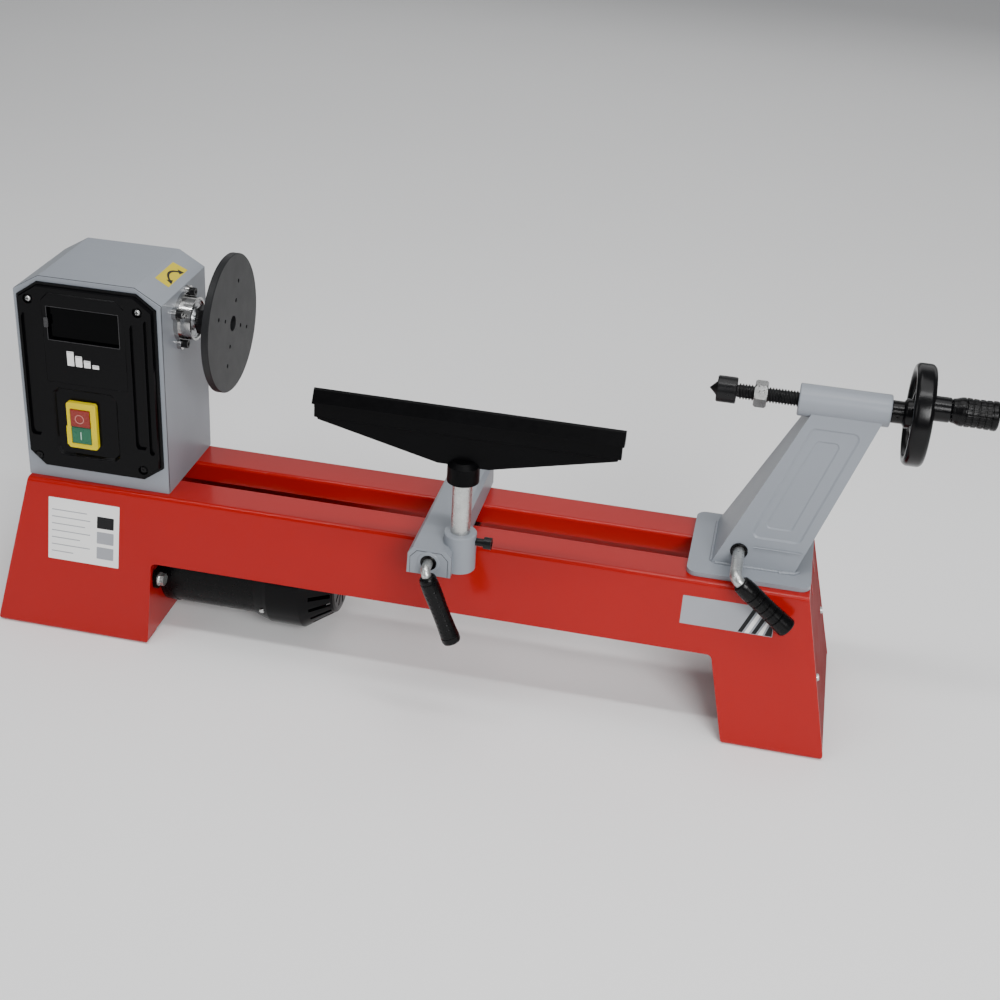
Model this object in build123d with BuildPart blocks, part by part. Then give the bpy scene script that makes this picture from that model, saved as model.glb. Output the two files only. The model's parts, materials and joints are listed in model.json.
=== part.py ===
from build123d import *
import math
import os

os.makedirs("parts", exist_ok=True)

# ------------------------------------------------------------------ driving dimensions (mm)
# Stations: x is measured from the left top end of the bed, y from the spindle's vertical plane
# (minus is towards the operator), z from the floor. X0, Y0 put the origin under the middle of the lathe.
X0, Y0 = -485.93, 33.5625

BED_LENGTH = 860.0  # along the top
BED_TOP = 175.0  # height of the ways
BED_HALF = 68.2  # half width over the ways
SLOT_HALF = 22.0  # half width of the slot between the ways
WAY_FLANGE = 22.0  # depth of the folded flange at the slot
SHEET = 2.5  # bed sheet thickness
SPLAY = 33.0  # how far each side panel leans out at the floor
FLARE_L, FLARE_R = 36.0, 41.0  # how far the end edges lean out at the floor
SKIRT_Z = 97.0  # lower edge of the side panels between the legs
LEG_L_TOP, LEG_L_FOOT = 148.0, 146.6  # inner edge of the left leg
LEG_R_TOP, LEG_R_FOOT = 770.5, 793.7  # inner edge of the right leg
FOOT_FLANGE = 30.0
FOOT_X1, FOOT_X2, FOOT_Y = 55.0, 847.0, 86.0  # bolt-down holes
FOOT_HOLE_R = 4.5

AXIS_Z = 362.3  # spindle centre line
CAS_X1, CAS_X2 = -1.7, 163.7  # headstock casing
CAS_Y1, CAS_Y2 = -58.5, 68.4
CAS_SHOULDER, CAS_TOP = 395.2, 412.1
CAS_CHAMFER = 28.7
CAS_SHEET = 2.0

SPINDLE_R = 10.0
NOSE_R = 9.0
BEARING_R = 21.0
FLANGE_PCD_R = 28.3
FLANGE_TURN = 62.0
FACEPLATE_R = 75.0
FACEPLATE_X = 221.0
FACEPLATE_T = 8.0
FACEPLATE_TURN = 64.4
SPINDLE_STEPS = (39.5, 34.0, 28.5, 23.0)
MOTOR_STEPS = (22.5, 28.0, 33.5, 39.0)
STEP_X, STEP_W = 41.0, 13.5
BELT_T, BELT_W, BELT_GAP = 3.0, 9.0, 0.3

MOTOR_Y, MOTOR_Z = -6.0, 67.0
MOTOR_R = 52.5
FAN_COVER_R = 59.7
MOTOR_EAR = 65.0  # clamp bolts each side of the motor's axis
MOTOR_BOLT_Z = 71.0
TENSION_TRAVEL = 10.0

BANJO_X = 477.5  # centre line of the banjo
BANJO_HALF = 22.5
BANJO_Y1, BANJO_Y2 = -139.5, 77.8
BANJO_Z1, BANJO_Z2 = 175.3, 205.0
BANJO_ROD_Z = 190.8
BANJO_ROD_R = 5.0
POST_X, POST_Y = 503.3, -113.0
POST_R = 10.0
BOSS_R, BOSS_TOP = 17.0, 217.0
LOCK_Z = 207.5
REST_X1, REST_X2 = 346.5, 661.0
REST_TOP = 354.3
SLEEVE_R, SLEEVE_Z = 16.5, 276.0

TAIL_X1, TAIL_X2 = 732.5, 860.0
TAIL_Y1, TAIL_Y2 = -59.7, 73.0
TAIL_PLATE_T = 5.0
TAIL_ROD_X, TAIL_ROD_Z = 783.0, 197.5
TAIL_ROD_R = 6.0
TAIL_BOLT_Y = 8.0
HOUSING_X1, HOUSING_X2, HOUSING_R = 819.0, 909.4, 16.5
QUILL_R = 8.0
TIP_X = 729.8
WHEEL_X1, WHEEL_X2, WHEEL_R = 926.4, 946.4, 51.6
CRANK_Y, CRANK_Z = -30.0, 384.8


def px(x, y=0.0, z=0.0):
    """Plane square to X: first direction is +Y, second +Z, and it extrudes to +X."""
    return Plane(origin=(X0 + x, Y0 + y, z), x_dir=(0, 1, 0), z_dir=(1, 0, 0))


def py(y, x=0.0, z=0.0):
    """Plane square to Y: first direction is +X, second +Z, and it extrudes to -Y."""
    return Plane(origin=(X0 + x, Y0 + y, z), x_dir=(1, 0, 0), z_dir=(0, -1, 0))


def pz(z, x=0.0, y=0.0):
    """Plane square to Z, extruding upwards."""
    return Plane(origin=(X0 + x, Y0 + y, z), x_dir=(1, 0, 0), z_dir=(0, 0, 1))


def along_x(y, z):
    return Axis((X0, Y0 + y, z), (1, 0, 0))


def ccw(*pts):
    """The same corners, in counter-clockwise order."""
    area = sum(a[0] * b[1] - b[0] * a[1] for a, b in zip(pts, pts[1:] + pts[:1]))
    return list(pts) if area > 0 else list(reversed(pts))


def rect(u1, v1, u2, v2):
    return [(u1, v1), (u2, v1), (u2, v2), (u1, v2)]


def chamfered(u1, v1, u2, v2, a, b):
    """A rectangle with all four corners cut by a along u and b along v."""
    return ccw((u1 + a, v1), (u2 - a, v1), (u2, v1 + b), (u2, v2 - b), (u2 - a, v2), (u1 + a, v2), (u1, v2 - b), (u1, v1 + b))


def pick(shapes, *pts, tol=0.6):
    """The vertices of a sketch that lie at these corners."""
    return [v for v in shapes if any(abs(v.X - a) < tol and abs(v.Y - b) < tol for a, b in pts)]


def side_y(z):
    """Half width over the side panels at height z."""
    return BED_HALF + SPLAY * (BED_TOP - z) / BED_TOP


def casing_profile(e, floor):
    """The casing's outline, inset by e, in x and z."""
    n = math.hypot(CAS_CHAMFER, CAS_TOP - CAS_SHOULDER)
    a, b = CAS_CHAMFER, CAS_TOP - CAS_SHOULDER
    left, right, top = CAS_X1 + e, CAS_X2 - e, CAS_TOP - e
    z = CAS_SHOULDER + (-e * n - b * (right - CAS_X2)) / a
    x = CAS_X2 + (-e * n - a * (top - CAS_SHOULDER)) / b
    mid = CAS_X1 + CAS_X2
    return ccw((left, floor), (right, floor), (right, z), (x, top), (mid - x, top), (left, z))


def stepped(radii, bore):
    """Half section of a stepped pulley with small rib grooves on every step."""
    pts = [(STEP_X, bore)]
    for i, r in enumerate(radii):
        x = STEP_X + i * STEP_W
        pts.append((x, r))
        for k in range(4):
            g = x + 2.2 + k * 2.4
            pts += [(g, r), (g + 0.9, r - 1.2), (g + 1.8, r)]
        pts.append((x + STEP_W, r))
    pts.append((STEP_X + len(radii) * STEP_W, bore))
    return ccw(*pts)


PANEL_IN = SHEET * math.hypot(1.0, SPLAY / BED_TOP)  # the side sheet's width, measured level

# ------------------------------------------------------------------ bed: two folded side panels
with BuildPart() as front_bed_panel:
    with BuildSketch(px(-60)) as s:
        low_in = -side_y(SHEET) + PANEL_IN
        top_in = -side_y(BED_TOP - SHEET) + PANEL_IN
        Polygon(
            *ccw(
                (-side_y(0), 0),
                (-side_y(0) + FOOT_FLANGE, 0),
                (-side_y(0) + FOOT_FLANGE, SHEET),
                (low_in, SHEET),
                (top_in, BED_TOP - SHEET),
                (-SLOT_HALF - SHEET, BED_TOP - SHEET),
                (-SLOT_HALF - SHEET, BED_TOP - WAY_FLANGE),
                (-SLOT_HALF, BED_TOP - WAY_FLANGE),
                (-SLOT_HALF, BED_TOP),
                (-BED_HALF, BED_TOP),
            ),
            align=None,
        )
        fillet(pick(s.vertices(), (-BED_HALF, BED_TOP)), 5.0)
        fillet(pick(s.vertices(), (-SLOT_HALF, BED_TOP), (-side_y(0), 0)), 4.0)
        fillet(pick(s.vertices(), (top_in, BED_TOP - SHEET)), 2.5)
        fillet(pick(s.vertices(), (-SLOT_HALF - SHEET, BED_TOP - SHEET), (low_in, SHEET)), 1.5)
    extrude(amount=1000)
    with BuildSketch(py(0)) as s:
        Polygon(
            *ccw(
                (-FLARE_L, 0),
                (LEG_L_FOOT, 0),
                (LEG_L_TOP, SKIRT_Z),
                (LEG_R_TOP, SKIRT_Z),
                (LEG_R_FOOT, 0),
                (BED_LENGTH + FLARE_R, 0),
                (BED_LENGTH - FLARE_R * 5 / BED_TOP, 180),
                (FLARE_L * 5 / BED_TOP, 180),
            ),
            align=None,
        )
        fillet(pick(s.vertices(), (-FLARE_L, 0), (LEG_L_FOOT, 0), (LEG_R_FOOT, 0), (BED_LENGTH + FLARE_R, 0)), 6.0)
        fillet(pick(s.vertices(), (LEG_L_TOP, SKIRT_Z), (LEG_R_TOP, SKIRT_Z)), 6.0)
    extrude(amount=130, both=True, mode=Mode.INTERSECT)
    # the belt's way through the ways
    with BuildSketch(pz(140)):
        Polygon(*rect(26, -46, 112, -10), align=None)
    extrude(amount=60, mode=Mode.SUBTRACT)
    # headstock bolt holes in the way, bolt-down holes in the feet
    with BuildSketch(pz(170)):
        with Locations((11, -40), (151, -40)):
            Circle(3.3)
    extrude(amount=10, mode=Mode.SUBTRACT)
    with BuildSketch(pz(-1)):
        with Locations((FOOT_X1, -FOOT_Y), (FOOT_X2, -FOOT_Y)):
            Circle(FOOT_HOLE_R)
    extrude(amount=5, mode=Mode.SUBTRACT)
front_bed_panel.part.label = "front_bed_panel"
export_step(front_bed_panel.part, "parts/front_bed_panel.step")

with BuildPart() as rear_bed_panel:
    mirror(front_bed_panel.part, about=Plane(origin=(X0, Y0, 0), x_dir=(1, 0, 0), z_dir=(0, 1, 0)))
rear_bed_panel.part.label = "rear_bed_panel"
export_step(rear_bed_panel.part, "parts/rear_bed_panel.step")

# ------------------------------------------------------------------ bed: end plates and motor plate
LEFT_SCREWS = [(-18.0, s * 67.0, 84.0) for s in (-1, 1)]
RIGHT_SCREWS = [(882.0, s * 67.4, 81.0) for s in (-1, 1)]

LIP_SLOT = [(21.85, 152.7), (24.9, 152.7), (24.9, 170.6), (25.7, 172.4), (25.7, 175.0), (21.85, 175.0)]
with BuildPart() as left_end_plate:
    with BuildSketch(py(0)):
        f = lambda z: -FLARE_L * (BED_TOP - z) / BED_TOP + 0.6
        Polygon(*ccw((f(5), 5), (f(5) + SHEET, 5), (f(172.3) + SHEET, 172.3), (f(172.3), 172.3)), align=None)
    extrude(amount=110, both=True)
    with BuildSketch(px(-60)):
        h5, h168, h172 = (side_y(v) - PANEL_IN - 0.05 for v in (5, 168, 172.3))
        END_OUTLINE = ccw((-h5, 5), (h5, 5), (h168, 168), (h172 - 3, 172.3), (-h172 + 3, 172.3), (-h168, 168))
        Polygon(*END_OUTLINE, align=None)
    extrude(amount=120, mode=Mode.INTERSECT)
    with BuildSketch(px(-60)):
        for sgn in (-1, 1):
            Polygon(*ccw(*[(sgn * u, v) for u, v in LIP_SLOT]), align=None)
    extrude(amount=120, mode=Mode.SUBTRACT)
    for x, y, z in LEFT_SCREWS:
        with BuildSketch(Plane(origin=(X0 - FLARE_L * (BED_TOP - z) / BED_TOP + 0.6, Y0 + y, z), x_dir=(0, 1, 0), z_dir=(-BED_TOP, 0, FLARE_L))):
            Circle(2.1)
        extrude(amount=8, both=True, mode=Mode.SUBTRACT)
left_end_plate.part.label = "left_end_plate"
export_step(left_end_plate.part, "parts/left_end_plate.step")

with BuildPart() as right_end_plate:
    with BuildSketch(py(0)):
        g = lambda z: BED_LENGTH + FLARE_R * (BED_TOP - z) / BED_TOP - 0.6
        Polygon(*ccw((g(5), 5), (g(5) - SHEET, 5), (g(172.3) - SHEET, 172.3), (g(172.3), 172.3)), align=None)
    extrude(amount=110, both=True)
    with BuildSketch(px(800)):
        Polygon(*END_OUTLINE, align=None)
    extrude(amount=120, mode=Mode.INTERSECT)
    with BuildSketch(px(800)):
        for sgn in (-1, 1):
            Polygon(*ccw(*[(sgn * u, v) for u, v in LIP_SLOT]), align=None)
    extrude(amount=120, mode=Mode.SUBTRACT)
    for x, y, z in RIGHT_SCREWS:
        with BuildSketch(Plane(origin=(X0 + BED_LENGTH + FLARE_R * (BED_TOP - z) / BED_TOP - 0.6, Y0 + y, z), x_dir=(0, 1, 0), z_dir=(BED_TOP, 0, FLARE_R))):
            Circle(2.1)
        extrude(amount=8, both=True, mode=Mode.SUBTRACT)
right_end_plate.part.label = "right_end_plate"
export_step(right_end_plate.part, "parts/right_end_plate.step")

with BuildPart() as motor_mount_plate:
    with BuildSketch(px(144)):
        a, b = side_y(5) - PANEL_IN - 0.1, side_y(150) - PANEL_IN - 0.1
        Polygon(*ccw((-a, 5), (a, 5), (b, 150), (-b, 150)), align=None)
        with Locations((MOTOR_Y, MOTOR_Z + TENSION_TRAVEL / 2)):
            SlotOverall(50 + TENSION_TRAVEL, 50, rotation=90, mode=Mode.SUBTRACT)
        with Locations((MOTOR_Y - MOTOR_EAR, MOTOR_BOLT_Z + TENSION_TRAVEL / 2), (MOTOR_Y + MOTOR_EAR, MOTOR_BOLT_Z + TENSION_TRAVEL / 2)):
            SlotOverall(TENSION_TRAVEL + 9.2, 9.2, rotation=90, mode=Mode.SUBTRACT)
    extrude(amount=SHEET)
motor_mount_plate.part.label = "motor_mount_plate"
export_step(motor_mount_plate.part, "parts/motor_mount_plate.step")

# headstock hold-down bolts with their nuts, and the end plates' screws
with BuildPart() as frame_screws:
    for x in (11, 151):
        for y in (-40, 40):
            with BuildSketch(pz(177, x, y)):
                RegularPolygon(radius=5.6, side_count=6)
            extrude(amount=4.2)
            with BuildSketch(pz(166, x, y)):
                Circle(3.0)
            extrude(amount=12)
            with BuildSketch(pz(167.3, x, y)):
                RegularPolygon(radius=5.6, side_count=6)
            extrude(amount=5.2)
    for x, y, z in LEFT_SCREWS:
        pl = Plane(origin=(X0 - FLARE_L * (BED_TOP - z) / BED_TOP + 0.6, Y0 + y, z), x_dir=(0, 1, 0), z_dir=(-BED_TOP, 0, FLARE_L))
        with BuildSketch(pl):
            Circle(4.0)
        extrude(amount=2.0, taper=20)
        with BuildSketch(pl):
            Circle(2.0)
        extrude(amount=-7)
    for x, y, z in RIGHT_SCREWS:
        pl = Plane(origin=(X0 + BED_LENGTH + FLARE_R * (BED_TOP - z) / BED_TOP - 0.6, Y0 + y, z), x_dir=(0, 1, 0), z_dir=(BED_TOP, 0, FLARE_R))
        with BuildSketch(pl):
            Circle(4.0)
        extrude(amount=2.0, taper=20)
        with BuildSketch(pl):
            Circle(2.0)
        extrude(amount=-7)
frame_screws.part.label = "frame_screws"
export_step(frame_screws.part, "parts/frame_screws.step")

# ------------------------------------------------------------------ headstock casing
BOLT_SPOTS = [(FLANGE_PCD_R * math.cos(math.radians(FLANGE_TURN + 90 * k)), FLANGE_PCD_R * math.sin(math.radians(FLANGE_TURN + 90 * k))) for k in range(4)]

with BuildPart() as headstock_casing:
    with BuildSketch(py(CAS_Y2)):
        Polygon(*casing_profile(0, BED_TOP), align=None)
        Polygon(*casing_profile(CAS_SHEET, BED_TOP + CAS_SHEET), align=None, mode=Mode.SUBTRACT)
        Polygon(*rect(CAS_X1 + 22, BED_TOP - 1, CAS_X2 - 22, BED_TOP + 3), align=None, mode=Mode.SUBTRACT)
    extrude(amount=CAS_Y2 - (CAS_Y1 + 2.6))
    # spindle openings and bearing bolt holes in both walls
    with BuildSketch(px(-10, 0, AXIS_Z)):
        Circle(13.5)
        with Locations(*BOLT_SPOTS):
            Circle(2.7)
    extrude(amount=200, mode=Mode.SUBTRACT)
    with BuildSketch(pz(170)):
        with Locations((11, -40), (151, -40), (11, 40), (151, 40)):
            Circle(3.3)
    extrude(amount=8, mode=Mode.SUBTRACT)
headstock_casing.part.label = "headstock_casing"
export_step(headstock_casing.part, "parts/headstock_casing.step")

COVER_SCREWS = [(18.0, 388.6), (140.6, 388.6), (15.5, 204.0), (137.5, 204.0)]

with BuildPart() as headstock_front_plate:
    with BuildSketch(py(CAS_Y1 + 2)):
        Polygon(*casing_profile(0.2, BED_TOP + 0.2), align=None)
    extrude(amount=2)
    with BuildSketch(py(CAS_Y1 + 12)):
        Polygon(*casing_profile(CAS_SHEET + 0.2, BED_TOP + CAS_SHEET + 0.2), align=None)
        Polygon(*casing_profile(CAS_SHEET + 1.7, BED_TOP + CAS_SHEET + 1.7), align=None, mode=Mode.SUBTRACT)
    extrude(amount=10)
    with BuildSketch(py(CAS_Y1 + 6)):
        Polygon(*rect(54.5, 222, 85.5, 274), align=None)
        Polygon(*rect(46, 351, 112, 378), align=None)
        with Locations(*COVER_SCREWS):
            Circle(1.75)
    extrude(amount=10, mode=Mode.SUBTRACT)
    # room for the lower corners' mounting bolts
    with BuildSketch(pz(176)):
        with Locations((11, -40), (151, -40)):
            Circle(7)
    extrude(amount=7, mode=Mode.SUBTRACT)
headstock_front_plate.part.label = "headstock_front_plate"
export_step(headstock_front_plate.part, "parts/headstock_front_plate.step")

# moulded black control cover with its ribs, recesses and screw pads
COVER = ccw((20.5, 190.5), (137, 190.5), (159.3, 206.5), (159.3, 391), (138, 407), (26, 407), (3, 391), (3, 206.5))
with BuildPart() as control_cover:
    with BuildSketch(py(CAS_Y1)):
        Polygon(*COVER, align=None)
    extrude(amount=3, taper=6)
    with BuildSketch(py(CAS_Y1 - 3)):
        Polygon(*ccw((22, 193), (135.5, 193), (156.8, 208), (156.8, 389.7), (136.8, 404.6), (27, 404.6), (5.4, 389.7), (5.4, 208)), align=None)
    extrude(amount=4, taper=18)
    # raised middle field that carries the window and the speed chart
    with BuildSketch(py(CAS_Y1 - 7)):
        Polygon(*ccw((33, 296), (126, 296), (126, 390), (117, 398.5), (41, 398.5), (33, 390)), align=None)
    extrude(amount=1.0, taper=40)
    # recessed channels beside the middle field
    with BuildSketch(py(CAS_Y1 - 3.4)):
        Polygon(*chamfered(8.5, 229, 21, 372, 2, 4), align=None)
        Polygon(*chamfered(131, 229, 143.5, 374, 2, 4), align=None)
        Polygon(*chamfered(146.5, 224, 152.5, 380, 1.5, 3), align=None)
    extrude(amount=6, mode=Mode.SUBTRACT)
    # window recess
    with BuildSketch(py(CAS_Y1 - 2)):
        Polygon(*chamfered(38.5, 345.5, 119.5, 383.5, 2, 2), align=None)
    extrude(amount=8, mode=Mode.SUBTRACT)
    # sunk switch field with sloping sides
    with BuildSketch(py(CAS_Y1 - 7.01)):
        Polygon(*chamfered(37, 208.5, 112, 290, 7, 7), align=None)
    extrude(amount=-3.51, taper=40, mode=Mode.SUBTRACT)
    with BuildSketch(py(CAS_Y1 + 1)):
        Polygon(*rect(54.5, 222, 85.5, 274), align=None)
        with Locations(*COVER_SCREWS):
            Circle(1.75)
    extrude(amount=12, mode=Mode.SUBTRACT)
    with BuildSketch(py(CAS_Y1 - 3.6)):
        with Locations(*COVER_SCREWS):
            Circle(5.6)
    extrude(amount=6, mode=Mode.SUBTRACT)
control_cover.part.label = "control_cover"
export_step(control_cover.part, "parts/control_cover.step")

with BuildPart() as display_window:
    with BuildSketch(py(CAS_Y1 - 2)):
        Polygon(*chamfered(38.7, 345.7, 119.3, 383.3, 2, 2), align=None)
    extrude(amount=1.6)
display_window.part.label = "display_window"
export_step(display_window.part, "parts/display_window.step")

with BuildPart() as cover_screws:
    with BuildSketch(py(CAS_Y1 - 3.6)):
        with Locations(*COVER_SCREWS):
            Circle(3.9)
    extrude(amount=2.4, taper=18)
    with BuildSketch(py(CAS_Y1 - 3.6)):
        with Locations(*COVER_SCREWS):
            Circle(1.7)
    extrude(amount=-9.5)
    with BuildSketch(py(CAS_Y1 - 4.8)):
        for x, z in COVER_SCREWS:
            with Locations((x, z)):
                Rectangle(4.4, 0.9)
                Rectangle(0.9, 4.4)
    extrude(amount=3, mode=Mode.SUBTRACT)
cover_screws.part.label = "cover_screws"
export_step(cover_screws.part, "parts/cover_screws.step")

# ------------------------------------------------------------------ no-volt switch
with BuildPart() as switch_bezel:
    with BuildSketch(py(CAS_Y1 - 3.5)) as s:
        Polygon(*rect(53, 221, 87, 275), align=None)
        fillet(s.vertices(), 3.0)
        Polygon(*rect(57.1, 226.3, 80.3, 267.7), align=None, mode=Mode.SUBTRACT)
    extrude(amount=5.5)
    # lower half is the hinged flap's frame, a little wider on the left
    with BuildSketch(py(CAS_Y1 - 5)):
        Polygon(*rect(51.6, 224, 53.4, 246), align=None)
    extrude(amount=4)
switch_bezel.part.label = "switch_bezel"
export_step(switch_bezel.part, "parts/switch_bezel.step")

with BuildPart() as switch_body:
    with BuildSketch(py(-30)):
        Polygon(*rect(55, 222.5, 85, 273.5), align=None)
    extrude(amount=-CAS_Y1 + 3.5 - 30)
    with BuildSketch(py(-44)):
        Polygon(*rect(57.1, 226.3, 80.3, 267.7), align=None)
    extrude(amount=30, mode=Mode.SUBTRACT)
    with BuildSketch(py(-20)):
        with Locations((62, 236), (78, 236), (62, 260), (78, 260)):
            Rectangle(1, 6)
    extrude(amount=12)
switch_body.part.label = "switch_body"
export_step(switch_body.part, "parts/switch_body.step")

with BuildPart() as stop_button:
    with BuildSketch(py(-61)):
        Polygon(*rect(57.7, 247.4, 79.7, 267.1), align=None)
    extrude(amount=8.5)
    chamfer(stop_button.faces().sort_by(Axis.Y)[0].edges(), 0.6)
    with BuildSketch(py(-69.5)):
        with Locations((68.7, 257.2)):
            Circle(5.4)
            Circle(4.2, mode=Mode.SUBTRACT)
    extrude(amount=0.4)
stop_button.part.label = "stop_button"
export_step(stop_button.part, "parts/stop_button.step")

with BuildPart() as start_button:
    with BuildSketch(py(-61)):
        Polygon(*rect(57.7, 226.9, 79.7, 246.6), align=None)
    extrude(amount=7.3)
    chamfer(start_button.faces().sort_by(Axis.Y)[0].edges(), 0.6)
    with BuildSketch(py(-68.3)):
        with Locations((68.7, 236.7)):
            Rectangle(1.3, 9.5)
    extrude(amount=0.4)
start_button.part.label = "start_button"
export_step(start_button.part, "parts/start_button.step")

with BuildPart() as stop_button_spring:
    with BuildLine():
        path = Helix(pitch=3.2, height=13.0, radius=4.0, center=(X0 + 68.7, Y0 - 44.6, 257.2), direction=(0, -1, 0))
    with BuildSketch(Plane(origin=path @ 0, z_dir=path % 0)):
        Circle(0.45)
    sweep(is_frenet=True)
stop_button_spring.part.label = "stop_button_spring"
export_step(stop_button_spring.part, "parts/stop_button_spring.step")

with BuildPart() as start_button_spring:
    with BuildLine():
        path = Helix(pitch=3.2, height=13.0, radius=4.0, center=(X0 + 68.7, Y0 - 44.6, 236.7), direction=(0, -1, 0))
    with BuildSketch(Plane(origin=path @ 0, z_dir=path % 0)):
        Circle(0.45)
    sweep(is_frenet=True)
start_button_spring.part.label = "start_button_spring"
export_step(start_button_spring.part, "parts/start_button_spring.step")

# ------------------------------------------------------------------ spindle bearings
with BuildPart() as bearing_flanges:
    # front flange, outside the right wall
    with BuildSketch(px(CAS_X2, 0, AXIS_Z)) as s:
        Circle(27.5)
        with Locations(*BOLT_SPOTS):
            Circle(6.6)
    extrude(amount=5)
    with BuildSketch(px(CAS_X2 + 5, 0, AXIS_Z)):
        Circle(23.6)
    extrude(amount=12.5, taper=1)
    # rear flange, inside the left wall
    with BuildSketch(px(CAS_X1 + CAS_SHEET, 0, AXIS_Z)) as s:
        Circle(27.5)
        with Locations(*BOLT_SPOTS):
            Circle(6.6)
    extrude(amount=5)
    with BuildSketch(px(CAS_X1 + CAS_SHEET + 5, 0, AXIS_Z)):
        Circle(23.6)
    extrude(amount=12.5, taper=1)
    with BuildSketch(px(-10, 0, AXIS_Z)):
        Circle(13.5)
        with Locations(*BOLT_SPOTS):
            Circle(2.7)
    extrude(amount=200, mode=Mode.SUBTRACT)
    with BuildSketch(px(CAS_X2 + 4.0, 0, AXIS_Z)):
        Circle(BEARING_R)
    extrude(amount=20, mode=Mode.SUBTRACT)
    with BuildSketch(px(CAS_X1 + CAS_SHEET + 4.0, 0, AXIS_Z)):
        Circle(BEARING_R)
    extrude(amount=20, mode=Mode.SUBTRACT)
bearing_flanges.part.label = "bearing_flanges"
export_step(bearing_flanges.part, "parts/bearing_flanges.step")

with BuildPart() as spindle_bearings:
    for x in (CAS_X1 + CAS_SHEET + 4.0, CAS_X2 + 4.0):
        with BuildSketch(py(0, 0, AXIS_Z)):
            Polygon(
                *ccw((x, SPINDLE_R + 0.05), (x, 13), (x + 0.8, 13.3), (x + 0.8, 17.8), (x, 18.2), (x, BEARING_R), (x + 12, BEARING_R), (x + 12, 18.2), (x + 11.2, 17.8), (x + 11.2, 13.3), (x + 12, 13), (x + 12, SPINDLE_R + 0.05)),
                align=None,
            )
        revolve(axis=along_x(0, AXIS_Z), revolution_arc=360)
spindle_bearings.part.label = "spindle_bearings"
export_step(spindle_bearings.part, "parts/spindle_bearings.step")

with BuildPart() as bearing_bolts:
    with BuildSketch(px(CAS_X2 + 5, 0, AXIS_Z)):
        with Locations(*BOLT_SPOTS):
            Circle(4.5)
    extrude(amount=6)
    with BuildSketch(px(CAS_X1 + CAS_SHEET + 5, 0, AXIS_Z)):
        with Locations(*BOLT_SPOTS):
            Circle(4.5)
    extrude(amount=6)
    with BuildSketch(px(CAS_X2 + 5, 0, AXIS_Z)):
        with Locations(*BOLT_SPOTS):
            Circle(2.5)
    extrude(amount=-14)
    with BuildSketch(px(CAS_X2 - CAS_SHEET, 0, AXIS_Z)):
        with Locations(*BOLT_SPOTS):
            RegularPolygon(radius=4.6, side_count=6)
    extrude(amount=-5)
    with BuildSketch(px(CAS_X1 + CAS_SHEET + 5, 0, AXIS_Z)):
        with Locations(*BOLT_SPOTS):
            Circle(2.5)
    extrude(amount=-6.8)
    # hexagon sockets
    with BuildSketch(px(CAS_X2 + 8, 0, AXIS_Z)):
        with Locations(*BOLT_SPOTS):
            RegularPolygon(radius=2.4, side_count=6)
    extrude(amount=5, mode=Mode.SUBTRACT)
    with BuildSketch(px(CAS_X1 + CAS_SHEET + 8, 0, AXIS_Z)):
        with Locations(*BOLT_SPOTS):
            RegularPolygon(radius=2.4, side_count=6)
    extrude(amount=5, mode=Mode.SUBTRACT)
bearing_bolts.part.label = "bearing_bolts"
export_step(bearing_bolts.part, "parts/bearing_bolts.step")

# ------------------------------------------------------------------ spindle
with BuildPart() as spindle_shaft:
    with BuildSketch(py(0, 0, AXIS_Z)):
        Polygon(
            *ccw((1, 4), (1, 9), (2, SPINDLE_R), (182.6, SPINDLE_R), (182.6, NOSE_R), (210, NOSE_R), (211, 8), (211, 6.03), (158, 4.7), (158, 4)),
            align=None,
        )
    revolve(axis=along_x(0, AXIS_Z), revolution_arc=360)
spindle_shaft.part.label = "spindle_shaft"
export_step(spindle_shaft.part, "parts/spindle_shaft.step")

with BuildPart() as spindle_pulley:
    with BuildSketch(py(0, 0, AXIS_Z)):
        Polygon(*stepped(SPINDLE_STEPS, SPINDLE_R + 0.01), align=None)
        Polygon(*rect(STEP_X - 1.5, SPINDLE_R + 0.01, STEP_X, SPINDLE_STEPS[0] + 4), align=None)
    revolve(axis=along_x(0, AXIS_Z), revolution_arc=360)
spindle_pulley.part.label = "spindle_pulley"
export_step(spindle_pulley.part, "parts/spindle_pulley.step")

with BuildPart() as spindle_nut:
    with BuildSketch(px(183, 0, AXIS_Z)):
        RegularPolygon(radius=15.8, side_count=6)
        Circle(NOSE_R + 0.02, mode=Mode.SUBTRACT)
    extrude(amount=7)
spindle_nut.part.label = "spindle_nut"
export_step(spindle_nut.part, "parts/spindle_nut.step")

with BuildPart() as faceplate:
    back = FACEPLATE_X - FACEPLATE_T
    with BuildSketch(py(0, 0, AXIS_Z)):
        Polygon(
            *ccw(
                (190.5, NOSE_R + 0.02),
                (190.5, 15.5),
                (192, 17),
                (back, 17),
                (back, FACEPLATE_R - 0.8),
                (back + 0.8, FACEPLATE_R),
                (FACEPLATE_X - 0.8, FACEPLATE_R),
                (FACEPLATE_X, FACEPLATE_R - 0.8),
                (FACEPLATE_X, 8.5),
                (211.5, 8.5),
                (211.5, NOSE_R + 0.02),
            ),
            align=None,
        )
    revolve(axis=along_x(0, AXIS_Z), revolution_arc=360)
    with BuildSketch(px(back - 2, 0, AXIS_Z)):
        with PolarLocations(46, 4, start_angle=FACEPLATE_TURN):
            Circle(2.3)
        with PolarLocations(25, 4, start_angle=FACEPLATE_TURN):
            Circle(2.3)
    extrude(amount=20, mode=Mode.SUBTRACT)
faceplate.part.label = "faceplate"
export_step(faceplate.part, "parts/faceplate.step")

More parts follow.
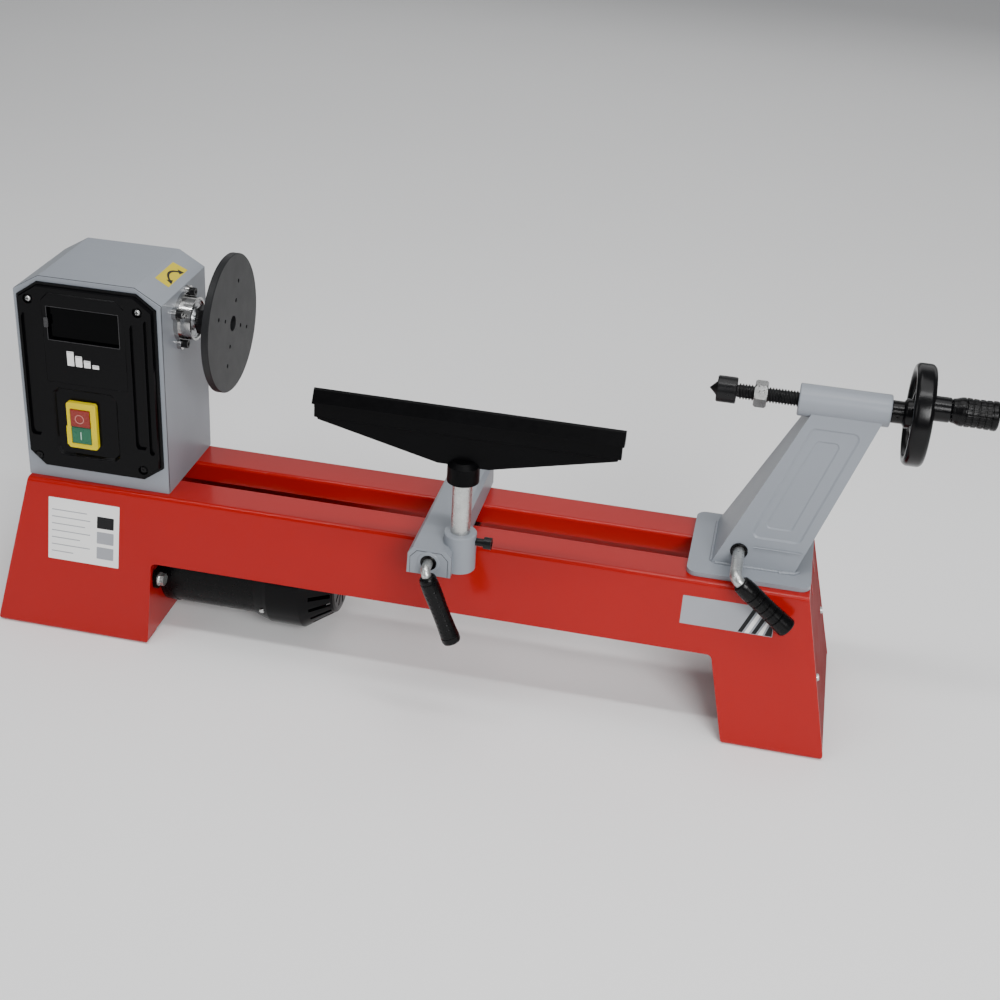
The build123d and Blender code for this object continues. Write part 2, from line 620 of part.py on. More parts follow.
# ------------------------------------------------------------------ belt, on the first step of both pulleys
with BuildPart() as drive_belt:
    bx = STEP_X + (STEP_W - BELT_W) / 2 + 0.4
    r1, r2 = SPINDLE_STEPS[0] + BELT_GAP, MOTOR_STEPS[0] + BELT_GAP
    with BuildSketch(px(bx)):
        with Locations((0, AXIS_Z)):
            Circle(r1 + BELT_T)
        with Locations((MOTOR_Y, MOTOR_Z)):
            Circle(r2 + BELT_T)
        make_hull()
    extrude(amount=BELT_W)
    with BuildSketch(px(bx)):
        with Locations((0, AXIS_Z)):
            Circle(r1)
        with Locations((MOTOR_Y, MOTOR_Z)):
            Circle(r2)
        make_hull()
    extrude(amount=BELT_W, mode=Mode.SUBTRACT)
drive_belt.part.label = "drive_belt"
export_step(drive_belt.part, "parts/drive_belt.step")

# ------------------------------------------------------------------ rear door of the casing
PIN_X, PIN_Y = 1.0, 72.0
with BuildPart() as door_hinge:
    with BuildSketch(pz(200, PIN_X, PIN_Y)):
        Circle(1.5)
    extrude(amount=182)
    for z in (200, 369.8):
        with BuildSketch(pz(z)):
            with Locations((PIN_X, PIN_Y)):
                Circle(3.2)
            Polygon(*rect(CAS_X1, CAS_Y2, 0.2, PIN_Y), align=None)
        extrude(amount=12.2)
door_hinge.part.label = "door_hinge"
export_step(door_hinge.part, "parts/door_hinge.step")

with BuildPart() as rear_door:
    with BuildSketch(py(CAS_Y2)):
        Polygon(*casing_profile(CAS_SHEET + 1.0, BED_TOP + 3.5), align=None)
    extrude(amount=2)
    with BuildSketch(pz(212.5)):
        Polygon(*rect(2.0, CAS_Y2, 20, CAS_Y2 + 1.6), align=None)
        with Locations((PIN_X, PIN_Y)):
            Circle(3.2)
        Polygon(*rect(2.0, CAS_Y2 + 0.4, 3.4, CAS_Y2 + 3.0), align=None)
    extrude(amount=157)
    with BuildSketch(pz(200, PIN_X, PIN_Y)):
        Circle(1.56)
    extrude(amount=190, mode=Mode.SUBTRACT)
    # cooling louvres
    with BuildSketch(py(CAS_Y2 + 5)):
        for k in range(6):
            with Locations((85, 215 + 9 * k)):
                SlotOverall(70, 3.2)
    extrude(amount=12, mode=Mode.SUBTRACT)
    with BuildSketch(py(CAS_Y2 + 5)):
        with Locations((147, 292)):
            Circle(3.0)
    extrude(amount=12, mode=Mode.SUBTRACT)
rear_door.part.label = "rear_door"
export_step(rear_door.part, "parts/rear_door.step")

with BuildPart() as door_knob:
    with BuildSketch(py(CAS_Y2 + 12, 147, 292)):
        Circle(10)
    extrude(amount=12)
    fillet(door_knob.edges().filter_by(GeomType.CIRCLE).sort_by(Axis.Y)[-1], 2.5)
    with BuildSketch(py(CAS_Y2 + 1, 147, 292)):
        Circle(2.95)
    extrude(amount=8)
    with BuildSketch(py(CAS_Y2 - 2.1, 147, 292)):
        Circle(7)
    extrude(amount=2)
door_knob.part.label = "door_knob"
export_step(door_knob.part, "parts/door_knob.step")

with BuildPart() as cable_gland:
    gz = 60.0
    with BuildSketch(py(side_y(gz) + 6, 60, gz)):
        RegularPolygon(radius=9, side_count=6)
        Circle(4.0, mode=Mode.SUBTRACT)
    extrude(amount=6 + 0.4)
    with BuildSketch(py(side_y(gz) - PANEL_IN - 1.5, 60, gz)):
        RegularPolygon(radius=9, side_count=6)
        Circle(4.0, mode=Mode.SUBTRACT)
    extrude(amount=5)
    with BuildSketch(py(side_y(gz) + 1, 60, gz)):
        Circle(6.5)
        Circle(4.0, mode=Mode.SUBTRACT)
    extrude(amount=9)
cable_gland.part.label = "cable_gland"

# the rear panel gets the gland's hole, wide enough for the sloping sheet to clear the nuts
with BuildPart() as rear_panel_with_gland:
    add(rear_bed_panel.part)
    with BuildSketch(py(side_y(gz) + 10, 60, gz)):
        Circle(6.7)
    extrude(amount=25, mode=Mode.SUBTRACT)
    add(cable_gland.part, mode=Mode.SUBTRACT)
rear_panel_with_gland.part.label = "rear_bed_panel"
export_step(rear_panel_with_gland.part, "parts/rear_bed_panel.step")
export_step(cable_gland.part, "parts/cable_gland.step")

# ------------------------------------------------------------------ motor
with BuildPart() as motor_end_bell:
    with BuildSketch(px(147.0, MOTOR_Y, MOTOR_Z)) as s:
        Circle(53)
        Polygon(*ccw((-73, MOTOR_BOLT_Z - MOTOR_Z - 11), (73, MOTOR_BOLT_Z - MOTOR_Z - 11), (73, MOTOR_BOLT_Z - MOTOR_Z + 11), (-73, MOTOR_BOLT_Z - MOTOR_Z + 11)), align=None)
        fillet(pick(s.vertices(), *[(a, MOTOR_BOLT_Z - MOTOR_Z + b) for a in (-73, 73) for b in (-11, 11)]), 7)
        with Locations((-MOTOR_EAR, MOTOR_BOLT_Z - MOTOR_Z), (MOTOR_EAR, MOTOR_BOLT_Z - MOTOR_Z)):
            Circle(4.2, mode=Mode.SUBTRACT)
    extrude(amount=5)
    with BuildSketch(px(152.0, MOTOR_Y, MOTOR_Z)):
        Circle(MOTOR_R + 0.8)
    extrude(amount=8)
    with BuildSketch(px(140.0, MOTOR_Y, MOTOR_Z)):
        Circle(20)
    extrude(amount=8)
    with BuildSketch(px(154.0, MOTOR_Y, MOTOR_Z)):
        Circle(46)
    extrude(amount=8, mode=Mode.SUBTRACT)
    with BuildSketch(px(130.0, MOTOR_Y, MOTOR_Z)):
        Circle(7.06)
    extrude(amount=50, mode=Mode.SUBTRACT)
motor_end_bell.part.label = "motor_end_bell"
export_step(motor_end_bell.part, "parts/motor_end_bell.step")

with BuildPart() as motor_can:
    with BuildSketch(py(MOTOR_Y, 0, MOTOR_Z)):
        Polygon(
            *ccw((160, 49.5), (160, MOTOR_R), (265, MOTOR_R), (265, MOTOR_R - 1), (266, 7.06), (262, 7.06), (262, 49.5)),
            align=None,
        )
    revolve(axis=along_x(MOTOR_Y, MOTOR_Z), revolution_arc=360)
motor_can.part.label = "motor_can"
export_step(motor_can.part, "parts/motor_can.step")

with BuildPart() as fan_cover:
    with BuildSketch(py(MOTOR_Y, 0, MOTOR_Z)):
        Polygon(
            *ccw(
                (259, MOTOR_R),
                (259, 55),
                (271, FAN_COVER_R - 1.5),
                (275, FAN_COVER_R),
                (313, FAN_COVER_R),
                (330, 48),
                (346.5, 37),
                (347.5, 33),
                (347.5, 0),
                (345, 0),
                (345, 34),
                (329, 45.5),
                (312, FAN_COVER_R - 2.4),
                (275, FAN_COVER_R - 2.4),
                (266.5, MOTOR_R + 0.5),
                (266.5, MOTOR_R),
            ),
            align=None,
        )
    revolve(axis=along_x(MOTOR_Y, MOTOR_Z), revolution_arc=360)
    # louvre slots round the taper and rings of openings in the end face
    with BuildSketch(px(316, MOTOR_Y, MOTOR_Z)):
        with PolarLocations(44, 20):
            Rectangle(18, 5)
    extrude(amount=28, mode=Mode.SUBTRACT)
    with BuildSketch(px(340, MOTOR_Y, MOTOR_Z)):
        with PolarLocations(23, 12):
            SlotOverall(14, 4)
    extrude(amount=12, mode=Mode.SUBTRACT)
fan_cover.part.label = "fan_cover"
export_step(fan_cover.part, "parts/fan_cover.step")

with BuildPart() as motor_bolts:
    for sgn in (-1, 1):
        c = (MOTOR_Y + sgn * MOTOR_EAR, MOTOR_BOLT_Z)
        with BuildSketch(px(152.0, *c)):
            Circle(8)
        extrude(amount=1.6)
        with BuildSketch(px(153.6, *c)):
            RegularPolygon(radius=7.2, side_count=6)
        extrude(amount=5.3)
        with BuildSketch(px(134.0, *c)):
            Circle(4.0)
        extrude(amount=19)
        with BuildSketch(px(142.1, *c)):
            Circle(8)
        extrude(amount=1.6)
        with BuildSketch(px(135.5, *c)):
            RegularPolygon(radius=7.2, side_count=6)
        extrude(amount=6.6)
motor_bolts.part.label = "motor_bolts"
export_step(motor_bolts.part, "parts/motor_bolts.step")

with BuildPart() as motor_shaft:
    with BuildSketch(py(MOTOR_Y, 0, MOTOR_Z)):
        Polygon(
            *ccw((36, 0), (36, 6.5), (36.5, 7), (176, 7), (176, 33), (244, 33), (244, 7), (296, 7), (296, 0)),
            align=None,
        )
    revolve(axis=along_x(MOTOR_Y, MOTOR_Z), revolution_arc=360)
motor_shaft.part.label = "motor_shaft"
export_step(motor_shaft.part, "parts/motor_shaft.step")

with BuildPart() as motor_pulley:
    with BuildSketch(py(MOTOR_Y, 0, MOTOR_Z)):
        Polygon(*stepped(MOTOR_STEPS, 7.01), align=None)
        end = STEP_X + 4 * STEP_W
        Polygon(*rect(end, 7.01, end + 1.5, MOTOR_STEPS[3] + 4), align=None)
    revolve(axis=along_x(MOTOR_Y, MOTOR_Z), revolution_arc=360)
motor_pulley.part.label = "motor_pulley"
export_step(motor_pulley.part, "parts/motor_pulley.step")

with BuildPart() as cooling_fan:
    with BuildSketch(px(272, MOTOR_Y, MOTOR_Z)):
        Circle(12)
        with PolarLocations(30, 8):
            Rectangle(40, 2.2)
        Circle(7.01, mode=Mode.SUBTRACT)
    extrude(amount=20)
cooling_fan.part.label = "cooling_fan"
export_step(cooling_fan.part, "parts/cooling_fan.step")

# ------------------------------------------------------------------ banjo
with BuildPart() as banjo_channel:
    x1, x2 = BANJO_X - BANJO_HALF, BANJO_X + BANJO_HALF
    with BuildSketch(py(BANJO_Y2)) as s:
        Polygon(*ccw((x1, BANJO_Z1), (x2, BANJO_Z1), (x2 - 0.8, BANJO_Z2 - 5), (x2 - 5, BANJO_Z2), (x1 + 5, BANJO_Z2), (x1 + 0.8, BANJO_Z2 - 5)), align=None)
        Polygon(*ccw((x1 + 3, BANJO_Z1 - 1), (x2 - 3, BANJO_Z1 - 1), (x2 - 3.8, BANJO_Z2 - 6), (x2 - 6.3, BANJO_Z2 - 3), (x1 + 6.3, BANJO_Z2 - 3), (x1 + 3.8, BANJO_Z2 - 6)), align=None, mode=Mode.SUBTRACT)
    extrude(amount=BANJO_Y2 - BANJO_Y1 - 3)
    # front end plate, welded on, a touch larger than the channel
    with BuildSketch(py(BANJO_Y1 + 3)):
        Polygon(*ccw((x1 - 0.6, BANJO_Z1), (x2 + 0.4, BANJO_Z1), (x2 + 0.2, BANJO_Z2 - 6.5), (x2 - 5.5, BANJO_Z2 + 0.5), (x1 + 5.5, BANJO_Z2 + 0.5), (x1 + 0.2, BANJO_Z2 - 6.5)), align=None)
    extrude(amount=3)
    with BuildSketch(py(BANJO_Y2)):
        Polygon(*ccw((x1, BANJO_Z1), (x2, BANJO_Z1), (x2 - 0.8, BANJO_Z2 - 5), (x2 - 5, BANJO_Z2), (x1 + 5, BANJO_Z2), (x1 + 0.8, BANJO_Z2 - 5)), align=None)
    extrude(amount=3)
    # post socket's seat, rod holes
    with BuildSketch(pz(BANJO_Z1 - 2, POST_X, POST_Y)):
        Circle(BOSS_R)
    extrude(amount=60, mode=Mode.SUBTRACT)
    with BuildSketch(py(BANJO_Y1 + 4, BANJO_X, BANJO_ROD_Z)):
        Circle(8.2)
    extrude(amount=8, mode=Mode.SUBTRACT)
    with BuildSketch(py(BANJO_Y2 + 1, BANJO_X, BANJO_ROD_Z)):
        Circle(BANJO_ROD_R + 0.06)
    extrude(amount=6, mode=Mode.SUBTRACT)
banjo_channel.part.label = "banjo_channel"
export_step(banjo_channel.part, "parts/banjo_channel.step")

with BuildPart() as post_socket:
    with BuildSketch(pz(BANJO_Z1, POST_X, POST_Y)):
        Circle(BOSS_R)
    extrude(amount=BOSS_TOP - BANJO_Z1)
    chamfer(post_socket.edges().filter_by(GeomType.CIRCLE).sort_by(Axis.Z)[-1], 1.0)
    with BuildSketch(pz(BANJO_Z1 - 1, POST_X, POST_Y)):
        Circle(POST_R + 0.06)
    extrude(amount=60, mode=Mode.SUBTRACT)
    with BuildSketch(px(POST_X + 5, POST_Y, LOCK_Z)):
        Circle(4.06)
    extrude(amount=20, mode=Mode.SUBTRACT)
post_socket.part.label = "post_socket"
export_step(post_socket.part, "parts/post_socket.step")

with BuildPart() as rod_bush:
    with BuildSketch(py(BANJO_Y1 + 3, BANJO_X, BANJO_ROD_Z)):
        Circle(8.2)
        Circle(BANJO_ROD_R + 0.06, mode=Mode.SUBTRACT)
    extrude(amount=3.8)
rod_bush.part.label = "rod_bush"
export_step(rod_bush.part, "parts/rod_bush.step")

with BuildPart() as post_lock_screw:
    with BuildSketch(px(POST_X + POST_R + 0.25, POST_Y, LOCK_Z)):
        Circle(4.0)
    extrude(amount=528.5 - POST_X - POST_R - 0.25)
    with BuildSketch(px(528.5, POST_Y, LOCK_Z)):
        Circle(6.3)
    extrude(amount=8)
    with BuildSketch(px(532.5, POST_Y, LOCK_Z)):
        RegularPolygon(radius=3.5, side_count=6)
    extrude(amount=5, mode=Mode.SUBTRACT)
post_lock_screw.part.label = "post_lock_screw"
export_step(post_lock_screw.part, "parts/post_lock_screw.step")

# the clamping bar that slides along under the ways, with a guide block in the slot
with BuildPart() as banjo_clamp_bar:
    with BuildSketch(pz(146.0)) as s:
        Polygon(*rect(BANJO_X - 20, -36, BANJO_X + 20, 36), align=None)
        fillet(s.vertices(), 4)
    extrude(amount=6.7)
    with BuildSketch(pz(152.7)):
        Polygon(*rect(BANJO_X - 16, -21.6, BANJO_X + 16, 21.6), align=None)
    extrude(amount=6)
    with BuildSketch(pz(140, BANJO_X, 0)):
        Circle(5.06)
    extrude(amount=30, mode=Mode.SUBTRACT)
banjo_clamp_bar.part.label = "banjo_clamp_bar"
export_step(banjo_clamp_bar.part, "parts/banjo_clamp_bar.step")

with BuildPart() as banjo_eye_bolt:
    with BuildSketch(py(6.5, BANJO_X, BANJO_ROD_Z)):
        Circle(10.8)
    extrude(amount=13)
    with BuildSketch(pz(136.5, BANJO_X, 0)):
        Circle(5.0)
    extrude(amount=BANJO_ROD_Z - 9 - 136.5)
    with BuildSketch(py(8, BANJO_X, BANJO_ROD_Z)):
        Circle(7.0)
    extrude(amount=16, mode=Mode.SUBTRACT)
    with BuildSketch(pz(137.5, BANJO_X, 0)):
        RegularPolygon(radius=9.6, side_count=6)
    extrude(amount=8.3)
banjo_eye_bolt.part.label = "banjo_eye_bolt"
export_step(banjo_eye_bolt.part, "parts/banjo_eye_bolt.step")

BA = math.radians(22.0)
with BuildPart() as banjo_cam_rod:
    with BuildLine():
        path = FilletPolyline(
            (X0 + BANJO_X, Y0 + 82, BANJO_ROD_Z),
            (X0 + BANJO_X, Y0 - 157.5, BANJO_ROD_Z),
            (X0 + BANJO_X + 66 * math.sin(BA), Y0 - 157.5, BANJO_ROD_Z - 66 * math.cos(BA)),
            radius=6.6,
        )
    with BuildSketch(Plane(origin=path @ 0, z_dir=path % 0)):
        Circle(BANJO_ROD_R)
    sweep()
    # eccentric that lifts the eye bolt
    with BuildSketch(py(40, BANJO_X, BANJO_ROD_Z + 1.5)):
        Circle(BANJO_ROD_R)
    extrude(amount=100)
banjo_cam_rod.part.label = "banjo_cam_rod"
export_step(banjo_cam_rod.part, "parts/banjo_cam_rod.step")

with BuildPart() as banjo_grip:
    # turned about the lever's arm, x runs along the arm from the rod's axis
    gp = Plane(origin=(X0 + BANJO_X, Y0 - 157.5, BANJO_ROD_Z), x_dir=(math.sin(BA), 0, -math.cos(BA)), z_dir=(0, -1, 0))
    with BuildSketch(gp):
        Polygon(
            *ccw((6.8, BANJO_ROD_R + 0.02), (6.8, 7.8), (9, 9.0), (24, 9.6), (40, 9.0), (70, 9.3), (82.5, 10.0), (85, 8.6), (86, 0), (67, 0), (67, BANJO_ROD_R + 0.02)),
            align=None,
        )
    revolve(axis=Axis((X0 + BANJO_X, Y0 - 157.5, BANJO_ROD_Z), (math.sin(BA), 0, -math.cos(BA))), revolution_arc=360)
banjo_grip.part.label = "banjo_grip"
export_step(banjo_grip.part, "parts/banjo_grip.step")

# ------------------------------------------------------------------ tool rest
with BuildPart() as rest_post:
    with BuildSketch(pz(178, POST_X, POST_Y)):
        Circle(POST_R)
    extrude(amount=114)
    chamfer(rest_post.edges().filter_by(GeomType.CIRCLE), 0.8)
rest_post.part.label = "rest_post"
export_step(rest_post.part, "parts/rest_post.step")

with BuildPart() as tool_rest:
    # rolled lip and face
    with BuildSketch(px(REST_X1)) as s:
        Polygon(*ccw((-107.5, REST_TOP - 1.2), (-110, REST_TOP), (-112, REST_TOP - 1.5), (-119, 341.5), (-119, 339.8), (-117.2, 339.6), (-111, 339.6), (-107.5, 345)), align=None)
    extrude(amount=REST_X2 - REST_X1)
    with BuildSketch(px(REST_X1 + 2)):
        Polygon(*ccw((-110, 341), (-117.2, 341), (-117.2, 325.5), (-116, 324.5), (-110, 324.5)), align=None)
    extrude(amount=REST_X2 - REST_X1 - 4)
    # stiffening web below, a flat triangle with its point cut off
    with BuildSketch(py(-110)):
        Polygon(*ccw((REST_X1 + 4, 326), (REST_X2 - 4, 326), (REST_X2 - 5.5, 322.5), (529, 293), (477, 293), (REST_X1 + 5.5, 322.5)), align=None)
    extrude(amount=6)
    # sleeve over the post
    with BuildSketch(pz(SLEEVE_Z, POST_X, POST_Y)):
        Circle(SLEEVE_R)
    extrude(amount=18)
    with BuildSketch(pz(SLEEVE_Z + 18, POST_X, POST_Y)):
        Circle(SLEEVE_R)
    extrude(amount=5, taper=45)
    with BuildSketch(pz(SLEEVE_Z - 1, POST_X, POST_Y)):
        Circle(POST_R + 0.06)
    extrude(amount=17.5, mode=Mode.SUBTRACT)
tool_rest.part.label = "tool_rest"
export_step(tool_rest.part, "parts/tool_rest.step")

# ------------------------------------------------------------------ tailstock
TZ = BED_TOP + 0.3
with BuildPart() as tail_base_plate:
    with BuildSketch(pz(TZ)) as s:
        Polygon(*rect(TAIL_X1, TAIL_Y1, TAIL_X2, TAIL_Y2), align=None)
        fillet(s.vertices(), 11)
        with Locations((TAIL_ROD_X, TAIL_BOLT_Y)):
            Circle(7, mode=Mode.SUBTRACT)
    extrude(amount=TAIL_PLATE_T)
tail_base_plate.part.label = "tail_base_plate"
export_step(tail_base_plate.part, "parts/tail_base_plate.step")

ZA = TZ + TAIL_PLATE_T
ARM_H = 356.0 - ZA
FRONT_FACE = Plane(origin=(X0, Y0 - 35, ZA), x_dir=(1, 0, 0), z_dir=(0, -ARM_H, 21))
with BuildPart() as tail_arm:
    with BuildSketch(py(70)) as s:
        Polygon(*ccw((756, ZA), (841.5, ZA), (903.2, 356), (834.2, 356)), align=None)
    extrude(amount=120)
    with BuildSketch(px(740)):
        Polygon(*ccw((-35, ZA), (57, ZA), (16, 356), (-14, 356)), align=None)
    extrude(amount=180, mode=Mode.INTERSECT)
    # pressed double panel in the front face
    with BuildSketch(FRONT_FACE) as s:
        k = math.hypot(1, 21 / ARM_H)
        pts = [(791, (214 - ZA) * k), (843, (214 - ZA) * k), (887, (340 - ZA) * k), (836, (340 - ZA) * k)]
        Polygon(*ccw(*pts), align=None)
        fillet(s.vertices(), 7)
    extrude(amount=-1.2, taper=60, mode=Mode.SUBTRACT)
    with BuildSketch(Plane(origin=FRONT_FACE.origin - FRONT_FACE.z_dir * 1.2, x_dir=FRONT_FACE.x_dir, z_dir=FRONT_FACE.z_dir)) as s:
        pts = [(804, (226 - ZA) * k), (833, (226 - ZA) * k), (868, (327 - ZA) * k), (842.5, (327 - ZA) * k)]
        Polygon(*ccw(*pts), align=None)
        fillet(s.vertices(), 5)
    extrude(amount=-0.9, taper=60, mode=Mode.SUBTRACT)
tail_arm_outer = tail_arm.part

with BuildPart() as tail_arm_core:
    with BuildSketch(py(70)):
        Polygon(*ccw((759.4, ZA - 1), (838.2, ZA - 1), (895.5, 345), (834.6, 345)), align=None)
    extrude(amount=120)
    with BuildSketch(px(740)):
        Polygon(*ccw((-31.9, ZA - 1), (53.8, ZA - 1), (16.5, 345), (-12.2, 345)), align=None)
    extrude(amount=180, mode=Mode.INTERSECT)

with BuildPart() as tail_arm:
    add(tail_arm_outer)
    add(tail_arm_core.part, mode=Mode.SUBTRACT)
    with BuildSketch(px(800, 0, AXIS_Z)):
        Circle(HOUSING_R)
    extrude(amount=130, mode=Mode.SUBTRACT)
    with BuildSketch(py(70, TAIL_ROD_X, TAIL_ROD_Z)):
        Circle(TAIL_ROD_R + 0.06)
    extrude(amount=40, mode=Mode.SUBTRACT)
    with BuildSketch(py(-20, TAIL_ROD_X, TAIL_ROD_Z)):
        Circle(TAIL_ROD_R + 0.06)
    extrude(amount=30, mode=Mode.SUBTRACT)
tail_arm.part.label = "tail_arm"
export_step(tail_arm.part, "parts/tail_arm.step")

with BuildPart() as quill_housing:
    with BuildSketch(px(HOUSING_X1, 0, AXIS_Z)):
        Circle(HOUSING_R)
        Circle(QUILL_R + 0.06, mode=Mode.SUBTRACT)
    extrude(amount=HOUSING_X2 - HOUSING_X1)
    chamfer(quill_housing.edges().filter_by(GeomType.CIRCLE).filter_by(lambda e: e.radius > 12), 1.0)
quill_housing.part.label = "quill_housing"
export_step(quill_housing.part, "parts/quill_housing.step")

with BuildPart() as tail_clamp:
    # eye bolt with its nut and the clamping bar under the ways
    with BuildSketch(py(TAIL_BOLT_Y + 7, TAIL_ROD_X, TAIL_ROD_Z)):
        Circle(11.5)
    extrude(amount=14)
    with BuildSketch(pz(136.5, TAIL_ROD_X, TAIL_BOLT_Y)):
        Circle(5.0)
    extrude(amount=TAIL_ROD_Z - 9 - 136.5)
    with BuildSketch(py(TAIL_BOLT_Y + 8, TAIL_ROD_X, TAIL_ROD_Z)):
        Circle(8.0)
    extrude(amount=16, mode=Mode.SUBTRACT)
    with BuildSketch(pz(137.5, TAIL_ROD_X, TAIL_BOLT_Y)):
        RegularPolygon(radius=9.6, side_count=6)
    extrude(amount=8.5)
tail_clamp.part.label = "tail_eye_bolt"
export_step(tail_clamp.part, "parts/tail_eye_bolt.step")

with BuildPart() as tail_clamp_bar:
    with BuildSketch(pz(146.0)) as s:
        Polygon(*rect(TAIL_ROD_X - 22, -36, TAIL_ROD_X + 22, 36), align=None)
        fillet(s.vertices(), 4)
    extrude(amount=6.7)
    with BuildSketch(pz(152.7)):
        Polygon(*rect(TAIL_ROD_X - 18, -21.6, TAIL_ROD_X + 18, 21.6), align=None)
    extrude(amount=6)
    with BuildSketch(pz(140, TAIL_ROD_X, TAIL_BOLT_Y)):
        Circle(5.02)
    extrude(amount=30, mode=Mode.SUBTRACT)
tail_clamp_bar.part.label = "tail_clamp_bar"
export_step(tail_clamp_bar.part, "parts/tail_clamp_bar.step")

TA = math.radians(50.0)
TL_Y = -89.0
with BuildPart() as tail_cam_rod:
    with BuildLine():
        path = FilletPolyline(
            (X0 + TAIL_ROD_X, Y0 + 58, TAIL_ROD_Z),
            (X0 + TAIL_ROD_X, Y0 + TL_Y, TAIL_ROD_Z),
            (X0 + TAIL_ROD_X + 62 * math.sin(TA), Y0 + TL_Y, TAIL_ROD_Z - 62 * math.cos(TA)),
            radius=7.8,
        )
    with BuildSketch(Plane(origin=path @ 0, z_dir=path % 0)):
        Circle(TAIL_ROD_R)
    sweep()
    with BuildSketch(py(TAIL_BOLT_Y + 11, TAIL_ROD_X, TAIL_ROD_Z + 1.5)):
        Circle(TAIL_ROD_R)
    extrude(amount=22)
tail_cam_rod.part.label = "tail_cam_rod"
export_step(tail_cam_rod.part, "parts/tail_cam_rod.step")

with BuildPart() as tail_grip:
    gp = Plane(origin=(X0 + TAIL_ROD_X, Y0 + TL_Y, TAIL_ROD_Z), x_dir=(math.sin(TA), 0, -math.cos(TA)), z_dir=(0, -1, 0))
    with BuildSketch(gp):
        Polygon(
            *ccw((8, TAIL_ROD_R + 0.02), (8, 8.6), (10, 9.8), (21, 10.4), (37, 9.8), (61, 10.2), (74.5, 11.0), (77, 9.4), (78, 0), (63, 0), (63, TAIL_ROD_R + 0.02)),
            align=None,
        )
    revolve(axis=Axis((X0 + TAIL_ROD_X, Y0 + TL_Y, TAIL_ROD_Z), (math.sin(TA), 0, -math.cos(TA))), revolution_arc=360)
tail_grip.part.label = "tail_grip"
export_step(tail_grip.part, "parts/tail_grip.step")

with BuildPart() as live_centre:
    with BuildSketch(py(0, 0, AXIS_Z)):
        Polygon(
            *ccw((TIP_X, 0), (TIP_X + 7.5, 7.4), (TIP_X + 7.5, 12.5), (TIP_X + 8.5, 13.5), (756.3, 13.5), (757.3, 12.5), (757.3, 6.06), (745.5, 6.06), (745.5, 0)),
            align=None,
        )
    revolve(axis=along_x(0, AXIS_Z), revolution_arc=360)
live_centre.part.label = "live_centre"
export_step(live_centre.part, "parts/live_centre.step")

with BuildPart() as quill_screw:
    with BuildSketch(py(0, 0, AXIS_Z)):
        Polygon(
            *ccw((746, 0), (746, 6), (757.6, 6), (757.6, 7.4), (758.2, QUILL_R), (936, QUILL_R), (936, 0)),
            align=None,
        )
    revolve(axis=along_x(0, AXIS_Z), revolution_arc=360)
quill_screw.part.label = "quill_screw"
export_step(quill_screw.part, "parts/quill_screw.step")

with BuildPart() as lock_nut:
    with BuildSketch(px(774.8, 0, AXIS_Z)):
        RegularPolygon(radius=13.9, side_count=6)
        Circle(QUILL_R + 0.06, mode=Mode.SUBTRACT)
    extrude(amount=13)
    with BuildSketch(py(0, 0, AXIS_Z)):
        Polygon(*ccw((774.0, 5), (774.8, 12.3), (777, 14.2), (785.6, 14.2), (787.8, 12.3), (788.6, 5)), align=None)
    revolve(axis=along_x(0, AXIS_Z), revolution_arc=360, mode=Mode.INTERSECT)
lock_nut.part.label = "lock_nut"
export_step(lock_nut.part, "parts/lock_nut.step")

with BuildPart() as handwheel:
    with BuildSketch(py(0, 0, AXIS_Z)) as s:
        # rim
        Polygon(*ccw((WHEEL_X1, WHEEL_R - 9), (WHEEL_X1, WHEEL_R - 3), (WHEEL_X1 + 3, WHEEL_R), (WHEEL_X2 - 3, WHEEL_R), (WHEEL_X2, WHEEL_R - 3), (WHEEL_X2, WHEEL_R - 7), (WHEEL_X2 - 3, WHEEL_R - 10), (WHEEL_X2 - 12, WHEEL_R - 10)), align=None)
        # hub
        Polygon(*ccw((HOUSING_X2 + 0.3, QUILL_R + 0.02), (HOUSING_X2 + 0.3, 11.4), (921, 11.4), (922, 15), (944, 15), (945, 13), (945, 0), (936.3, 0), (936.3, QUILL_R + 0.02)), align=None)
        # dished web
        Polygon(*ccw((931, 14), (935, 14), (939, WHEEL_R - 9), (935, WHEEL_R - 9)), align=None)
    revolve(axis=along_x(0, AXIS_Z), revolution_arc=360)
    # crank boss
    with BuildSketch(px(931, CRANK_Y, CRANK_Z)):
        Circle(12.5)
    extrude(amount=962 - 931)
    # openings between the five spokes
    with BuildSketch(px(925, 0, AXIS_Z)) as s:
        Circle(WHEEL_R - 11.5)
        Circle(18, mode=Mode.SUBTRACT)
        with PolarLocations(28, 5, start_angle=143.1):
            Rectangle(40, 11, mode=Mode.SUBTRACT)
        with Locations((CRANK_Y, CRANK_Z - AXIS_Z)):
            Circle(14.5, mode=Mode.SUBTRACT)
    extrude(amount=25, mode=Mode.SUBTRACT)
    # ribs that stiffen the spokes
    with BuildSketch(px(927.5, 0, AXIS_Z)):
        with PolarLocations(28, 5, start_angle=143.1):
            Rectangle(30, 3)
    extrude(amount=6)
    with BuildSketch(px(930, CRANK_Y, CRANK_Z)):
        Circle(4.0)
    extrude(amount=40, mode=Mode.SUBTRACT)
    with BuildSketch(px(905, 0, AXIS_Z)):
        Circle(QUILL_R + 0.02)
    extrude(amount=31.3, mode=Mode.SUBTRACT)
    with BuildSketch(py(-7, 915.5, AXIS_Z)):
        Circle(2.6)
    extrude(amount=10, mode=Mode.SUBTRACT)
handwheel.part.label = "handwheel"
export_step(handwheel.part, "parts/handwheel.step")

